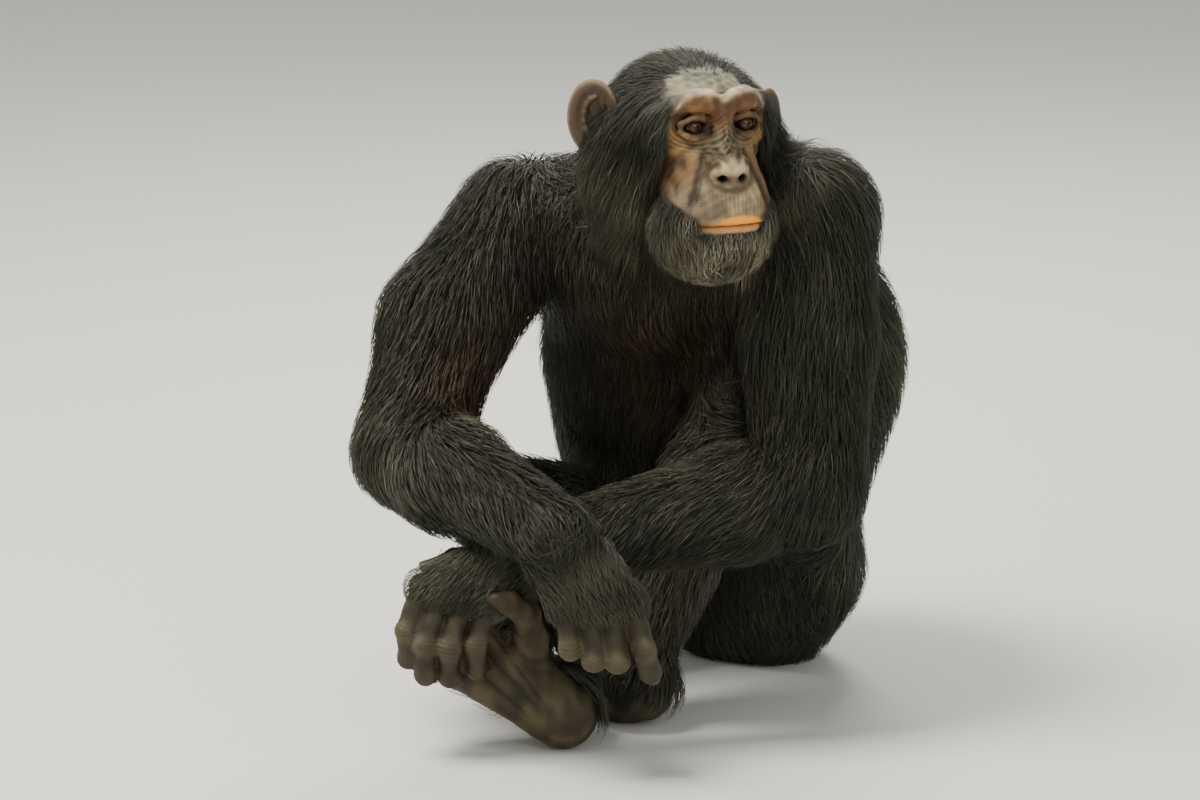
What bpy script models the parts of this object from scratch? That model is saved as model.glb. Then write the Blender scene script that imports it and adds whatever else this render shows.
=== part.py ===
# Chimpanzee sitting hunched on the floor, life size, as one still model made of flesh nodes.
# The animal faces -Y, its left side is +X, the floor is z = 0 and the origin is the middle of the flat
# under its rump. Lengths are metres. The body is a set of rounded bones and masses blended as distance
# fields, meshed chain by chain, parted from its neighbours by thin gaps and cut into named nodes.
import math

import bpy
import bmesh
import numpy as np
import openvdb
from mathutils import Matrix, Vector
from mathutils.bvhtree import BVHTree

NAME = "sitting_chimpanzee"

# The long coat is a core under separate locks: the core's share of the coat's depth.
CORE = 0.5
# Short fur is plain, out to its tips.
SHORT = 1.0
# Gap left between nodes that face each other.
GAP = 0.0003
# The photo looks at the animal from this far round to its left.
VIEW_TURN = math.radians(30.0)

# Coat depth in metres by region, from the skin to the hair tips.
FUR_ARM = 0.017
FUR_FOREARM = 0.016
FUR_BACK = 0.020
FUR_CHEST = 0.009
FUR_BELLY = 0.011
FUR_RUMP = 0.014
FUR_THIGH = 0.015
FUR_SHIN = 0.013
FUR_HAND = 0.005
FUR_FOOT = 0.003
FUR_CROWN = 0.014
FUR_CHEEK = 0.016
FUR_NECK = 0.018

# Locks of the long coat: how thick they are, how deep their roots sit in the core, and how many there are.
LOCK_THICK = 0.006
LOCK_SUNK = 0.006
LOCKS = {"upper_arm": 8, "forearm": 8, "thigh": 6, "shin": 6, "torso": 20, "rump": 12, "ruff": 6, "beard": 7}

# Grid steps of the body and the head, and the triangles left to a chain or a piece before its locks.
STEP = 0.0045
HEAD_STEP = 0.0028
TRIANGLES = {"trunk": 980, "head": 2350, "arm": 660, "leg": 610, "ear": 150}

COAT_COLOUR = (0.030, 0.031, 0.029)
SKIN_COLOUR = (0.20, 0.135, 0.090)
EYE_COLOUR = (0.035, 0.016, 0.008)


def seen(right, away, up):
    """A point given by its place to the right, its distance away and its height in the photo's view."""
    c = math.cos(VIEW_TURN)
    s = math.sin(VIEW_TURN)
    return Vector((right * c - away * s, right * s + away * c, up))


# Joint centres of the trunk and limbs.
HIP_L = Vector((0.054, -0.026, 0.108))
HIP_R = Vector((-0.072, -0.020, 0.108))
KNEE_L = seen(-0.012, -0.205, 0.330)
KNEE_R = seen(-0.262, -0.150, 0.192)
ANKLE_L = seen(-0.128, -0.245, 0.078)
ANKLE_R = seen(-0.200, -0.302, 0.052)
SHOULDER_L = seen(0.040, -0.222, 0.513)
SHOULDER_R = seen(-0.246, -0.110, 0.484)
ELBOW_L = seen(0.040, -0.300, 0.254)
ELBOW_R = seen(-0.360, -0.250, 0.280)
WRIST_L = seen(-0.215, -0.375, 0.215)
WRIST_R = seen(-0.212, -0.462, 0.250)

# The trunk is parted into torso and rump at the waist.
WAIST = Vector((0.0, -0.030, 0.240))
WAIST_WAY = Vector((0.0, -0.28, 0.96)).normalized()

# The head turns to its left; its own axes are forward, left and up.
NECK_ROOT = Vector((0.005, -0.205, 0.574))
NECK_WAY = Vector((0.0, -0.30, 0.95)).normalized()
HEAD_AT = seen(-0.083, -0.240, 0.632)
HEAD_TURN = math.radians(22.0)
HEAD_NOD = math.radians(4.0)


def head_axes():
    flat = seen(math.sin(HEAD_TURN), -math.cos(HEAD_TURN), 0.0)
    forward = flat * math.cos(HEAD_NOD) - Vector((0, 0, 1)) * math.sin(HEAD_NOD)
    left = Vector((0, 0, 1)).cross(flat).normalized()
    up = forward.cross(left).normalized()
    return forward, left, up


FORWARD, LEFT, UP = head_axes()

# Eyeballs: half their spacing, radius, centre ahead of the head centre and above it.
EYE_SPACE = 0.0275
EYE_RADIUS = 0.0105
EYE_DEPTH = 0.0800
EYE_UP = -0.001

# The left brow's arch from the nose out, ahead, left and up of the head's centre, and its thickness there.
BROW = ((0.0885, 0.0030, 0.0200), (0.0880, 0.0140, 0.0245), (0.0840, 0.0265, 0.0250), (0.0755, 0.0400, 0.0190),
        (0.0630, 0.0500, 0.0060), (0.0540, 0.0535, -0.0060))
BROW_THICK = (0.0085, 0.0100, 0.0105, 0.0100, 0.0090, 0.0075)

# The mouth's half width and its height.
MOUTH_HALF = 0.034
MOUTH_UP = -0.0915


def on_head(forward, left, up):
    return HEAD_AT + FORWARD * forward + LEFT * left + UP * up


# Distance fields. A field is a function of an (n, 3) array of points and gives n distances.


def rod(a, b, ra, rb, flat=1.0, across=None):
    """A tapered rod with round ends, flattened across one direction when flat is below one."""
    a = np.array(a, float)
    b = np.array(b, float)
    ab = b - a
    long2 = float(ab @ ab)
    side = None
    if across is not None:
        side = np.array(across, float)
        side = side - ab * (side @ ab) / long2
        side = side / np.linalg.norm(side)

    def field(p):
        q = p - a
        h = np.clip((q @ ab) / long2, 0.0, 1.0)
        d = q - h[:, None] * ab
        if side is None:
            return np.sqrt(np.einsum("ij,ij->i", d, d)) - (ra + (rb - ra) * h)
        s = d @ side
        rest = np.einsum("ij,ij->i", d, d) - s * s
        return np.sqrt(np.maximum(rest, 0.0) + (s / flat) ** 2) - (ra + (rb - ra) * h)

    reach = max(ra, rb)
    low = np.minimum(a, b) - reach
    high = np.maximum(a, b) + reach
    return field, low, high


def egg(centre, radii, axes=None):
    """An ellipsoid with the given half sizes along its three axes."""
    centre = np.array(centre, float)
    radii = np.array(radii, float)
    turn = np.eye(3) if axes is None else np.array([list(v) for v in axes], float)

    def field(p):
        q = (p - centre) @ turn.T
        k0 = np.sqrt(np.einsum("ij,ij->i", q / radii, q / radii))
        k1 = np.sqrt(np.einsum("ij,ij->i", q / radii ** 2, q / radii ** 2))
        return k0 * (k0 - 1.0) / np.maximum(k1, 1e-9)

    half = np.sqrt(((turn * radii[:, None]) ** 2).sum(0))
    return field, centre - half, centre + half


def soft_min(a, b, k):
    h = np.maximum(k - np.abs(a - b), 0.0) / k
    return np.minimum(a, b) - h * h * k * 0.25


def soft_max(a, b, k):
    return -soft_min(-a, -b, k)


class Clay:
    """A block of distance values on a regular grid, to which fields are added or from which they are cut."""

    def __init__(self, low, high, step):
        self.step = step
        self.low = np.array(low, float)
        self.shape = tuple(np.ceil((np.array(high, float) - self.low) / step).astype(int) + 1)
        self.value = np.full(self.shape, 0.05, np.float32)

    def window(self, low, high, pad):
        i = np.maximum(np.floor((np.array(low) - pad - self.low) / self.step).astype(int), 0)
        j = np.minimum(np.ceil((np.array(high) + pad - self.low) / self.step).astype(int) + 1, self.shape)
        return i, j

    def points(self, i, j):
        axes = [self.low[n] + self.step * np.arange(i[n], j[n]) for n in range(3)]
        mesh = np.meshgrid(*axes, indexing="ij")
        return np.stack(mesh, -1).reshape(-1, 3)

    def apply(self, shape, k, rule):
        field, low, high = shape
        i, j = self.window(low, high, 0.05 + k)
        if np.any(j <= i):
            return
        cut = (slice(i[0], j[0]), slice(i[1], j[1]), slice(i[2], j[2]))
        old = self.value[cut]
        new = field(self.points(i, j)).reshape(old.shape)
        self.value[cut] = rule(old, new, k)

    def add(self, shape, k=0.01):
        self.apply(shape, k, soft_min)

    def cut(self, shape, k=0.004):
        self.apply(shape, k, lambda old, new, soft: soft_max(old, -new, soft))

    def ahead(self, point, way):
        """Distances ahead of a plane, on this block's grid."""
        spots = self.points(np.zeros(3, int), self.shape)
        return ((spots - np.array(point)) @ np.array(way)).reshape(self.shape)

    def clear(self, other, room, spared=None):
        """Carve another block's body, grown by some room, out of this one. The spared distances are
        negative where nothing is carved."""
        tool = other.value - room
        if spared is not None:
            tool = np.maximum(tool, -spared)
        self.value = np.maximum(self.value, -tool).astype(np.float32)

    def sample(self, p):
        """Distance values at any points, blended from the eight nearest."""
        q = (p - self.low) / self.step
        i = np.clip(np.floor(q).astype(int), 0, np.array(self.shape) - 2)
        t = np.clip(q - i, 0.0, 1.0)
        out = np.zeros(len(p))
        for a in (0, 1):
            for b in (0, 1):
                for c in (0, 1):
                    share = (t[:, 0] if a else 1 - t[:, 0]) * (t[:, 1] if b else 1 - t[:, 1])
                    share = share * (t[:, 2] if c else 1 - t[:, 2])
                    out += share * self.value[i[:, 0] + a, i[:, 1] + b, i[:, 2] + c]
        return out

    def slope(self, p):
        """The way out of the body at any points."""
        h = self.step
        out = np.stack([self.sample(p + h * e) - self.sample(p - h * e) for e in np.eye(3)], -1)
        return out / np.maximum(np.linalg.norm(out, axis=1, keepdims=True), 1e-9)

    def mesh(self, name):
        grid = openvdb.FloatGrid(0.05)
        grid.copyFromArray(self.value)
        points, quads = grid.convertToQuads(0.0)
        points = points * self.step + self.low
        mesh = bpy.data.meshes.new(name)
        mesh.from_pydata(points.tolist(), [], quads.tolist())
        return mesh


# The body's masses. Each limb gives a list of (shape, softness) in the order they are blended.


def arm_middle(side):
    """The middle of an upper arm, bowed outwards by its muscle and hair."""
    if side > 0:
        return SHOULDER_L.lerp(ELBOW_L, 0.45)
    return SHOULDER_R.lerp(ELBOW_R, 0.48) + seen(-0.024, 0, 0.010)


def trunk_shapes(coat):
    back = FUR_BACK * coat
    chest = FUR_CHEST * coat
    belly = FUR_BELLY * coat
    rump = FUR_RUMP * coat
    neck = FUR_NECK * coat
    out = []
    out.append((egg((-0.012, 0.000, 0.102), (0.090 + rump, 0.082 + rump, 0.102 + rump)), 0.03))
    out.append((egg((0.020, -0.004, 0.062), (0.048 + rump, 0.056 + rump, 0.062 + rump)), 0.03))
    out.append((egg((-0.040, -0.004, 0.062), (0.050 + rump, 0.056 + rump, 0.062 + rump)), 0.03))
    out.append((egg((-0.046, -0.046, 0.238), (0.150 + back, 0.104 + belly, 0.118)), 0.05))
    out.append((egg((-0.006, -0.008, 0.240), (0.118 + back, 0.082 + back, 0.120)), 0.05))
    out.append((egg((-0.024, -0.085, 0.345), (0.164 + back, 0.112 + chest, 0.125)), 0.06))
    out.append((egg((0.010, -0.048, 0.345), (0.152 + back, 0.102 + back, 0.135)), 0.06))
    out.append((egg((-0.010, -0.150, 0.440), (0.140 + back, 0.098 + chest, 0.085 + back)), 0.06))
    out.append((rod(SHOULDER_L, SHOULDER_R, 0.056 + back * 0.8, 0.056 + back * 0.8), 0.05))
    for side in (1, -1):
        shoulder = SHOULDER_L if side > 0 else SHOULDER_R
        hip, knee = (HIP_L, KNEE_L) if side > 0 else (HIP_R, KNEE_R)
        fur = FUR_ARM * coat
        thigh = FUR_THIGH * coat
        out.append((rod(shoulder, arm_middle(side), 0.056 + fur, 0.054 + fur), 0.02))
        out.append((rod(hip, knee, 0.062 + thigh, 0.046 + thigh), 0.03))
    out.append((rod((-0.005, -0.160, 0.480), on_head(-0.030, 0, -0.055), 0.080 + neck, 0.052 + neck), 0.05))
    out.append((rod((-0.005, -0.225, 0.460), on_head(-0.010, 0, -0.060), 0.058 + chest, 0.050 + chest), 0.05))
    return out


def head_shapes(short, coat):
    crown = FUR_CROWN * short
    cheek = FUR_CHEEK * coat
    axes = (FORWARD, LEFT, UP)
    out = []
    out.append((egg(on_head(0.000, 0, -0.011), (0.078 + crown, 0.066 + crown, 0.053 + crown), axes), 0.02))
    out.append((egg(on_head(-0.016, 0, -0.044), (0.064 + crown, 0.066 + cheek, 0.056 + cheek), axes), 0.03))
    for side in (-1, 1):
        out.append((egg(on_head(-0.004, side * 0.058, -0.060), (0.030 + cheek, 0.034 + 1.6 * cheek,
                    0.052 + cheek), axes), 0.03))
        # The brow ridge arches over the eye; then the cheek bone.
        arch = [on_head(f, side * l, u) for f, l, u in BROW]
        for n in range(len(arch) - 1):
            out.append((rod(arch[n], arch[n + 1], BROW_THICK[n], BROW_THICK[n + 1]), 0.007))
        out.append((rod(on_head(0.080, side * 0.018, -0.026), on_head(0.062, side * 0.046, -0.014),
                        0.015, 0.014), 0.018))
    # Nose bridge, muzzle, lips, jaw and chin, then the wings of the nose and the lids.
    out.append((rod(on_head(0.088, 0, 0.006), on_head(0.108, 0, -0.030), 0.010, 0.011), 0.012))
    out.append((egg(on_head(0.078, 0, -0.072), (0.052, 0.050, 0.046), axes), 0.025))
    out.append((egg(on_head(0.086, 0, -0.084), (0.046, 0.050, 0.026), axes), 0.015))
    out.append((egg(on_head(0.072, 0, -0.113), (0.048, 0.044, 0.030), axes), 0.02))
    out.append((egg(on_head(0.064, 0, -0.116), (0.046, 0.040 + 0.8 * cheek, 0.030 + cheek), axes), 0.02))
    for side in (-1, 1):
        out.append((egg(on_head(0.113, side * 0.0060, -0.0350), (0.0120, 0.0085, 0.0085), axes), 0.006))
        out.append((rod(on_head(0.113, side * 0.0150, -0.0350), on_head(0.107, side * 0.0195, -0.0435),
                        0.0075, 0.0065), 0.005))
        spots = lid_line(side, 1)
        for one, two in zip(spots, spots[1:]):
            out.append((rod(one, two, 0.0042, 0.0042), 0.003))
        spots = lid_line(side, -1)
        for one, two in zip(spots, spots[1:]):
            out.append((rod(one, two, 0.0036, 0.0036), 0.003))
    return out


def lid_line(side, upper):
    """Points along one eyelid's edge, from the inner corner to the outer."""
    out = []
    for t in (-1.0, -0.5, 0.0, 0.5, 1.0):
        bulge = math.sqrt(1.0 - 0.80 * t * t)
        out.append(on_head(EYE_DEPTH + EYE_RADIUS * (1.02 * bulge), side * (EYE_SPACE + 0.0125 * t),
                           EYE_UP + upper * (0.0040 + 0.0054 * (1 - t * t)) - 0.001 * t))
    return out


def mouth_line(deep):
    """Points along the line between the lips."""
    out = []
    for n in range(-4, 5):
        t = n / 4.0
        out.append(on_head(0.070 + deep + 0.062 * math.sqrt(1.0 - 0.46 * t * t), MOUTH_HALF * t,
                           MOUTH_UP - 0.003 * t * t))
    return out


def face_cuts():
    out = []
    for side in (-1, 1):
        out.append((egg(on_head(EYE_DEPTH + 0.006, side * EYE_SPACE, EYE_UP + 0.001), (0.012, 0.0118, 0.0056),
                        (FORWARD, LEFT, UP)), 0.002))
        out.append((egg(on_head(0.119, side * 0.0095, -0.0452), (0.011, 0.0056, 0.0040),
                        (FORWARD, LEFT, UP)), 0.002))
        out.append((rod(on_head(0.128, side * 0.0095, -0.0470), on_head(0.110, side * 0.0070, -0.0400),
                        0.0042, 0.0030), 0.002))
    spots = mouth_line(0.0)
    for one, two in zip(spots, spots[1:]):
        out.append((rod(one, two, 0.0024, 0.0024), 0.002))
    return out


def arm_shapes(side, coat):
    fur = FUR_ARM * coat
    low = FUR_FOREARM * coat
    hand = FUR_HAND * coat
    shoulder = SHOULDER_L if side > 0 else SHOULDER_R
    elbow = ELBOW_L if side > 0 else ELBOW_R
    wrist = WRIST_L if side > 0 else WRIST_R
    out = []
    mid = arm_middle(side)
    out.append((rod(shoulder, mid, 0.056 + fur, 0.054 + fur), 0.02))
    out.append((rod(mid, elbow, 0.054 + fur, 0.042 + fur), 0.02))
    belly = elbow.lerp(wrist, 0.30)
    out.append((rod(elbow, belly, 0.043 + low, 0.045 + low), 0.02))
    out.append((rod(belly, wrist, 0.045 + low, 0.025 + hand), 0.02))
    return out


def leg_shapes(side, coat):
    thigh = FUR_THIGH * coat
    shin = FUR_SHIN * coat
    hip = HIP_L if side > 0 else HIP_R
    knee = KNEE_L if side > 0 else KNEE_R
    ankle = ANKLE_L if side > 0 else ANKLE_R
    out = []
    out.append((rod(hip, knee, 0.062 + thigh, 0.046 + thigh), 0.03))
    calf = knee.lerp(ankle, 0.35)
    out.append((rod(knee, calf, 0.042 + shin, 0.042 + shin), 0.02))
    out.append((rod(calf, ankle, 0.041 + shin, 0.029 + shin * 0.6), 0.02))
    return out


# Hands and feet. Every digit is a row of points with radii; the palm and the sole are masses.


class Grip:
    """One hand: its wrist, the middle of its knuckle row and the ways its fingers run."""

    def __init__(self, side, wrist, row, across, first, second, third, point):
        self.side = side
        self.wrist = wrist
        self.row = row
        self.across = across.normalized()
        self.ways = (first.normalized(), second.normalized(), third.normalized())
        self.point = [w.normalized() for w in point]
        self.along = (row - wrist).normalized()
        self.back = self.across.cross(self.along).normalized() * side

    def knuckle(self, n):
        spread = (0.0320, 0.0108, -0.0108, -0.0300)[n]
        ahead = (0.000, 0.004, 0.001, -0.006)[n]
        return self.row + self.across * spread + self.along * ahead

    def finger(self, n):
        """Centres and radii of finger n, from inside the palm to its tip; 0 is the index finger."""
        scale = (0.95, 1.04, 1.0, 0.86)[n]
        thick = (1.0, 1.03, 1.0, 0.88)[n]
        ways = self.point if n == 0 else self.ways
        spots = [self.knuckle(n) - self.along * 0.012, self.knuckle(n)]
        for way, length in zip(ways, FINGER_BONES):
            spots.append(spots[-1] + way * length * scale)
        radii = [r * thick for r in (0.0090, 0.0102, 0.0101, 0.0091, 0.0065)]
        return spots, radii


FINGER_BONES = (0.048, 0.034, 0.020)
HAND_R = Grip(-1, WRIST_R, seen(-0.170, -0.458, 0.172), seen(1.0, 0.12, 0.12),
              seen(0.13, -0.36, -0.92), seen(0.02, 0.95, -0.30), seen(0.0, 0.72, 0.70),
              (seen(0.28, -0.28, -0.92), seen(0.22, 0.45, -0.87), seen(0.10, 0.90, -0.42)))
HAND_L = Grip(1, WRIST_L, seen(-0.312, -0.392, 0.166), seen(-0.90, 0.10, 0.30),
              seen(-0.30, -0.25, -0.92), seen(0.02, 0.30, -0.95), seen(0.20, 0.93, -0.30),
              (seen(-0.34, -0.20, -0.92), seen(0.02, 0.30, -0.95), seen(0.20, 0.93, -0.30)))
THUMB_R = ([seen(-0.200, -0.440, 0.236), seen(-0.180, -0.434, 0.226), seen(-0.163, -0.436, 0.207),
            seen(-0.155, -0.440, 0.180)], [0.010, 0.0115, 0.0100, 0.0075])
THUMB_L = ([seen(-0.262, -0.366, 0.196), seen(-0.284, -0.352, 0.196), seen(-0.312, -0.343, 0.192),
            seen(-0.338, -0.340, 0.182)], [0.010, 0.0110, 0.0095, 0.0072])


def palm_shapes(grip, coat):
    fur = FUR_HAND * coat
    out = []
    for n in range(4):
        start = grip.wrist + grip.across * (0.012 - 0.008 * n)
        out.append((rod(start, grip.knuckle(n), 0.0165 + fur, 0.0135 + fur * 0.7), 0.010))
    ball = grip.wrist.lerp(grip.row, 0.40) + grip.across * 0.018 - grip.back * 0.008
    out.append((egg(ball, (0.020 + fur, 0.020 + fur, 0.020 + fur)), 0.012))
    return out


class Sole:
    """One foot: heel centre, the way its toes point and the way its sole faces."""

    def __init__(self, side, heel, toes, down):
        self.side = side
        self.heel = heel
        self.toes = toes.normalized()
        self.down = (down - self.toes * down.dot(self.toes)).normalized()
        self.inner = self.toes.cross(self.down) if side < 0 else self.down.cross(self.toes)

    def at(self, toes, inner, down):
        return self.heel + self.toes * toes + self.inner * inner + self.down * down

    def toe(self, n):
        """Centres and radii of toe n; 1 is next to the great toe, 4 is the outermost."""
        inner = 0.031 - 0.0165 * n
        ahead = (0.0, 0.122, 0.124, 0.119, 0.110)[n]
        length = (0.0, 0.046, 0.048, 0.044, 0.038)[n]
        spots = [self.at(ahead - 0.012, inner, 0.001), self.at(ahead + 0.004, inner, 0.000),
                 self.at(ahead + 0.55 * length, inner, -0.002), self.at(ahead + length, inner, 0.006)]
        return spots, [0.0074, 0.0080, 0.0078, 0.0062]


FOOT_R = Sole(-1, seen(-0.205, -0.355, 0.034), seen(-0.80, 0.08, 0.60), seen(-0.10, -0.99, -0.05))
FOOT_L = Sole(1, seen(-0.128, -0.262, 0.029), seen(-0.87, 0.49, -0.02), seen(0.05, -0.22, -0.97))
GREAT_R = ([seen(-0.232, -0.352, 0.086), seen(-0.236, -0.366, 0.113), seen(-0.240, -0.392, 0.148),
            seen(-0.256, -0.412, 0.167), seen(-0.270, -0.418, 0.171)], [0.015, 0.0165, 0.0130, 0.0115, 0.0085])
GREAT_L = ([FOOT_L.at(0.068, 0.028, 0.000), FOOT_L.at(0.080, 0.040, 0.000), FOOT_L.at(0.104, 0.060, 0.002),
            FOOT_L.at(0.122, 0.070, 0.008)], [0.014, 0.0150, 0.0125, 0.0090])


def foot_shapes(foot, coat):
    fur = FUR_FOOT * coat
    axes = (foot.toes, foot.inner, foot.down)
    out = []
    out.append((egg(foot.at(0.000, 0, -0.004), (0.034, 0.033, 0.030), axes), 0.012))
    out.append((rod(foot.at(0.005, 0, -0.016), foot.at(0.070, 0.004, -0.010), 0.030 + fur, 0.028 + fur,
                    0.9, foot.inner), 0.015))
    out.append((rod(foot.at(0.020, 0.004, 0.0), foot.at(0.112, 0.022, 0.000), 0.026, 0.0150), 0.012))
    out.append((rod(foot.at(0.020, -0.008, 0.0), foot.at(0.106, -0.030, 0.002), 0.026, 0.0145), 0.012))
    out.append((rod(foot.at(0.030, 0.008, 0.0), foot.at(0.072, 0.026, 0.000), 0.022, 0.0175), 0.012))
    return out


def ear_shape(side):
    out = (LEFT * side * 0.82 - FORWARD * 0.57).normalized()
    face = (FORWARD * 0.82 + LEFT * side * 0.57).normalized()
    axes = (face, out, UP)
    centre = on_head(0.002, side * 0.083, -0.008) + out * 0.016
    if side > 0:
        centre = centre + on_head(0.0, -0.005, -0.022) - HEAD_AT
    low = np.array(centre) - 0.06
    clay = Clay(low, low + 0.12, 0.0022)
    clay.add(egg(centre, (0.0085, 0.027, 0.039), axes), 0.002)
    clay.cut(egg(centre + face * 0.0075 - out * 0.002, (0.0075, 0.019, 0.030), axes), 0.003)
    return clay


# Meshes from points, and the cuts that part them.


def tube(name, spots, radii, sides=6):
    """A closed rod through the given centres with the given radii and a rounded tip."""
    spots = list(spots)
    radii = list(radii)
    way = (spots[-1] - spots[-2]).normalized()
    tip = radii[-1]
    spots += [spots[-1] + way * tip * 0.80]
    radii += [tip * 0.55]
    bm = bmesh.new()
    rings = []
    last = Vector((0.31, 0.52, 0.79))
    for n, (spot, radius) in enumerate(zip(spots, radii)):
        a = spots[max(n - 1, 0)]
        b = spots[min(n + 1, len(spots) - 1)]
        along = (b - a).normalized()
        u = (last - along * last.dot(along)).normalized()
        v = along.cross(u)
        last = u
        ring = []
        for k in range(sides):
            t = 2 * math.pi * k / sides
            ring.append(bm.verts.new(spot + u * (radius * math.cos(t)) + v * (radius * math.sin(t))))
        rings.append(ring)
    for low, high in zip(rings, rings[1:]):
        for k in range(sides):
            j = (k + 1) % sides
            bm.faces.new((low[k], low[j], high[j], high[k]))
    bm.faces.new(list(reversed(rings[0])))
    bm.faces.new(rings[-1])
    bmesh.ops.triangulate(bm, faces=bm.faces)
    mesh = bpy.data.meshes.new(name)
    bm.to_mesh(mesh)
    bm.free()
    return mesh


def ball(name, centre, radius, rows=8):
    bm = bmesh.new()
    bmesh.ops.create_uvsphere(bm, u_segments=rows * 2 - 2, v_segments=rows, radius=radius,
                              matrix=Matrix.Translation(centre))
    bmesh.ops.triangulate(bm, faces=bm.faces)
    mesh = bpy.data.meshes.new(name)
    bm.to_mesh(mesh)
    bm.free()
    return mesh


def arm_root(side):
    """The plane between trunk and upper arm: a point and the way along the arm."""
    shoulder, elbow = (SHOULDER_L, ELBOW_L) if side > 0 else (SHOULDER_R, ELBOW_R)
    way = (elbow - shoulder).normalized()
    return shoulder + way * 0.030, way


def leg_root(side):
    """The plane between trunk and thigh: a point and the way along the thigh."""
    hip, knee = (HIP_L, KNEE_L) if side > 0 else (HIP_R, KNEE_R)
    way = (knee - hip).normalized()
    return hip + way * 0.060, way


def place(mesh, name, home):
    obj = bpy.data.objects.new(name, mesh)
    home.objects.link(obj)
    return obj


def evaluated(obj):
    bpy.context.view_layer.update()
    graph = bpy.context.evaluated_depsgraph_get()
    mesh = bpy.data.meshes.new_from_object(obj.evaluated_get(graph))
    obj.modifiers.clear()
    old = obj.data
    obj.data = mesh
    bpy.data.meshes.remove(old)


def thin_out(obj, triangles):
    """Bring a mesh down to about the given number of triangles."""
    faces = sum(len(p.vertices) - 2 for p in obj.data.polygons)
    if faces > triangles:
        mod = obj.modifiers.new("fewer", "DECIMATE")
        mod.ratio = triangles / faces
        evaluated(obj)


def cutters():
    """The collection of the cutting shapes, hidden in renders."""
    group = bpy.data.collections.get("cutters")
    if group is None:
        group = bpy.data.collections.new("cutters")
        group.hide_render = True
        bpy.context.scene.collection.children.link(group)
    return group


def cut_by(obj, mesh, operation):
    """Change a node by a cutting mesh, which is used up, and keep its largest surface."""
    tool = place(mesh, "cutter", cutters())
    tool.display_type = "WIRE"
    tool.hide_render = True
    mod = obj.modifiers.new("cut", "BOOLEAN")
    mod.object = tool
    mod.operation = operation
    mod.solver = "MANIFOLD"
    evaluated(obj)
    bpy.data.objects.remove(tool)
    bpy.data.meshes.remove(mesh)
    largest(obj)


def largest(obj):
    """Keep only the largest closed surface of a mesh, as triangles. Faces belong together across an edge,
    not across a lone corner."""
    bm = bmesh.new()
    bm.from_mesh(obj.data)
    bmesh.ops.triangulate(bm, faces=bm.faces)
    known = set()
    best = []
    for start in bm.faces:
        if start in known:
            continue
        group = [start]
        known.add(start)
        for face in group:
            for edge in face.edges:
                near = edge.link_faces if len(edge.link_faces) == 2 else ()
                for other in near:
                    if other not in known:
                        known.add(other)
                        group.append(other)
        if len(group) > len(best):
            best = group
    keep = set(best)
    spare = [face for face in bm.faces if face not in keep]
    bmesh.ops.delete(bm, geom=spare, context="FACES")
    bmesh.ops.dissolve_degenerate(bm, edges=bm.edges, dist=0.00002)
    bmesh.ops.triangulate(bm, faces=bm.faces)
    bm.to_mesh(obj.data)
    bm.free()


def half_space(point, normal, shift, size=2.0):
    """A big box whose face lies on the plane moved by shift along the normal, on the side away from it."""
    normal = Vector(normal).normalized()
    turn = normal.to_track_quat("Z", "Y").to_matrix().to_4x4()
    bm = bmesh.new()
    bmesh.ops.create_cube(bm, size=size)
    bmesh.ops.translate(bm, verts=bm.verts, vec=(0, 0, -size / 2 + shift))
    bmesh.ops.transform(bm, verts=bm.verts, matrix=Matrix.Translation(point) @ turn)
    bmesh.ops.triangulate(bm, faces=bm.faces)
    mesh = bpy.data.meshes.new("half")
    bm.to_mesh(mesh)
    bm.free()
    return mesh


def keep_side(obj, point, normal, shift):
    """Keep the part of a mesh that lies behind the plane."""
    cut_by(obj, half_space(point, normal, shift), "INTERSECT")


def part_at(obj, point, normal, name, home, width=2.0):
    """Part a chain at a plane: obj keeps the side behind it, the new node gets the side ahead.
    With a width below the body's the plane is a face of a box of that width that holds the new node."""
    ahead = place(obj.data.copy(), name, home)
    back = Vector(normal) * -1.0
    cut_by(ahead, half_space(point, back, -GAP / 2, width), "INTERSECT")
    cut_by(obj, half_space(point, back, GAP / 2, width + GAP), "DIFFERENCE")
    return ahead


def swollen(obj, by):
    """A node's mesh moved out along its normals, farther at sharp edges so that every face moves alike."""
    mesh = obj.data.copy()
    mesh.update()
    spots = np.empty(len(mesh.vertices) * 3)
    normals = np.empty(len(mesh.vertices) * 3)
    mesh.vertices.foreach_get("co", spots)
    mesh.vertex_normals.foreach_get("vector", normals)
    spots = spots.reshape(-1, 3)
    normals = normals.reshape(-1, 3)
    least = np.ones(len(spots))
    for poly in mesh.polygons:
        own = np.array(poly.vertices)
        least[own] = np.minimum(least[own], normals[own] @ np.array(poly.normal))
    far = by / np.maximum(least, 0.5)
    mesh.vertices.foreach_set("co", (spots + normals * far[:, None]).ravel())
    mesh.update()
    return mesh


def tree(mesh):
    bm = bmesh.new()
    bm.from_mesh(mesh)
    out = BVHTree.FromBMesh(bm)
    bm.free()
    return out


def clear_of(obj, others):
    """Cut each of the other nodes out of a node where it stands nearer than most of the gap, leaving the
    gap. Faces that already lie a gap apart are left alone."""
    for other in others:
        near = swollen(other, GAP * 0.8)
        if tree(obj.data).overlap(tree(near)):
            cut_by(obj, swollen(other, GAP), "DIFFERENCE")
        bpy.data.meshes.remove(near)


def paint(obj, colour, rough):
    name = "coat" if colour == COAT_COLOUR else obj.name
    mat = bpy.data.materials.new(name)
    mat.use_nodes = True
    shader = mat.node_tree.nodes["Principled BSDF"]
    shader.inputs["Base Color"].default_value = (*colour, 1.0)
    shader.inputs["Roughness"].default_value = rough
    obj.data.materials.clear()
    obj.data.materials.append(mat)
    for poly in obj.data.polygons:
        poly.use_smooth = True


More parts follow.
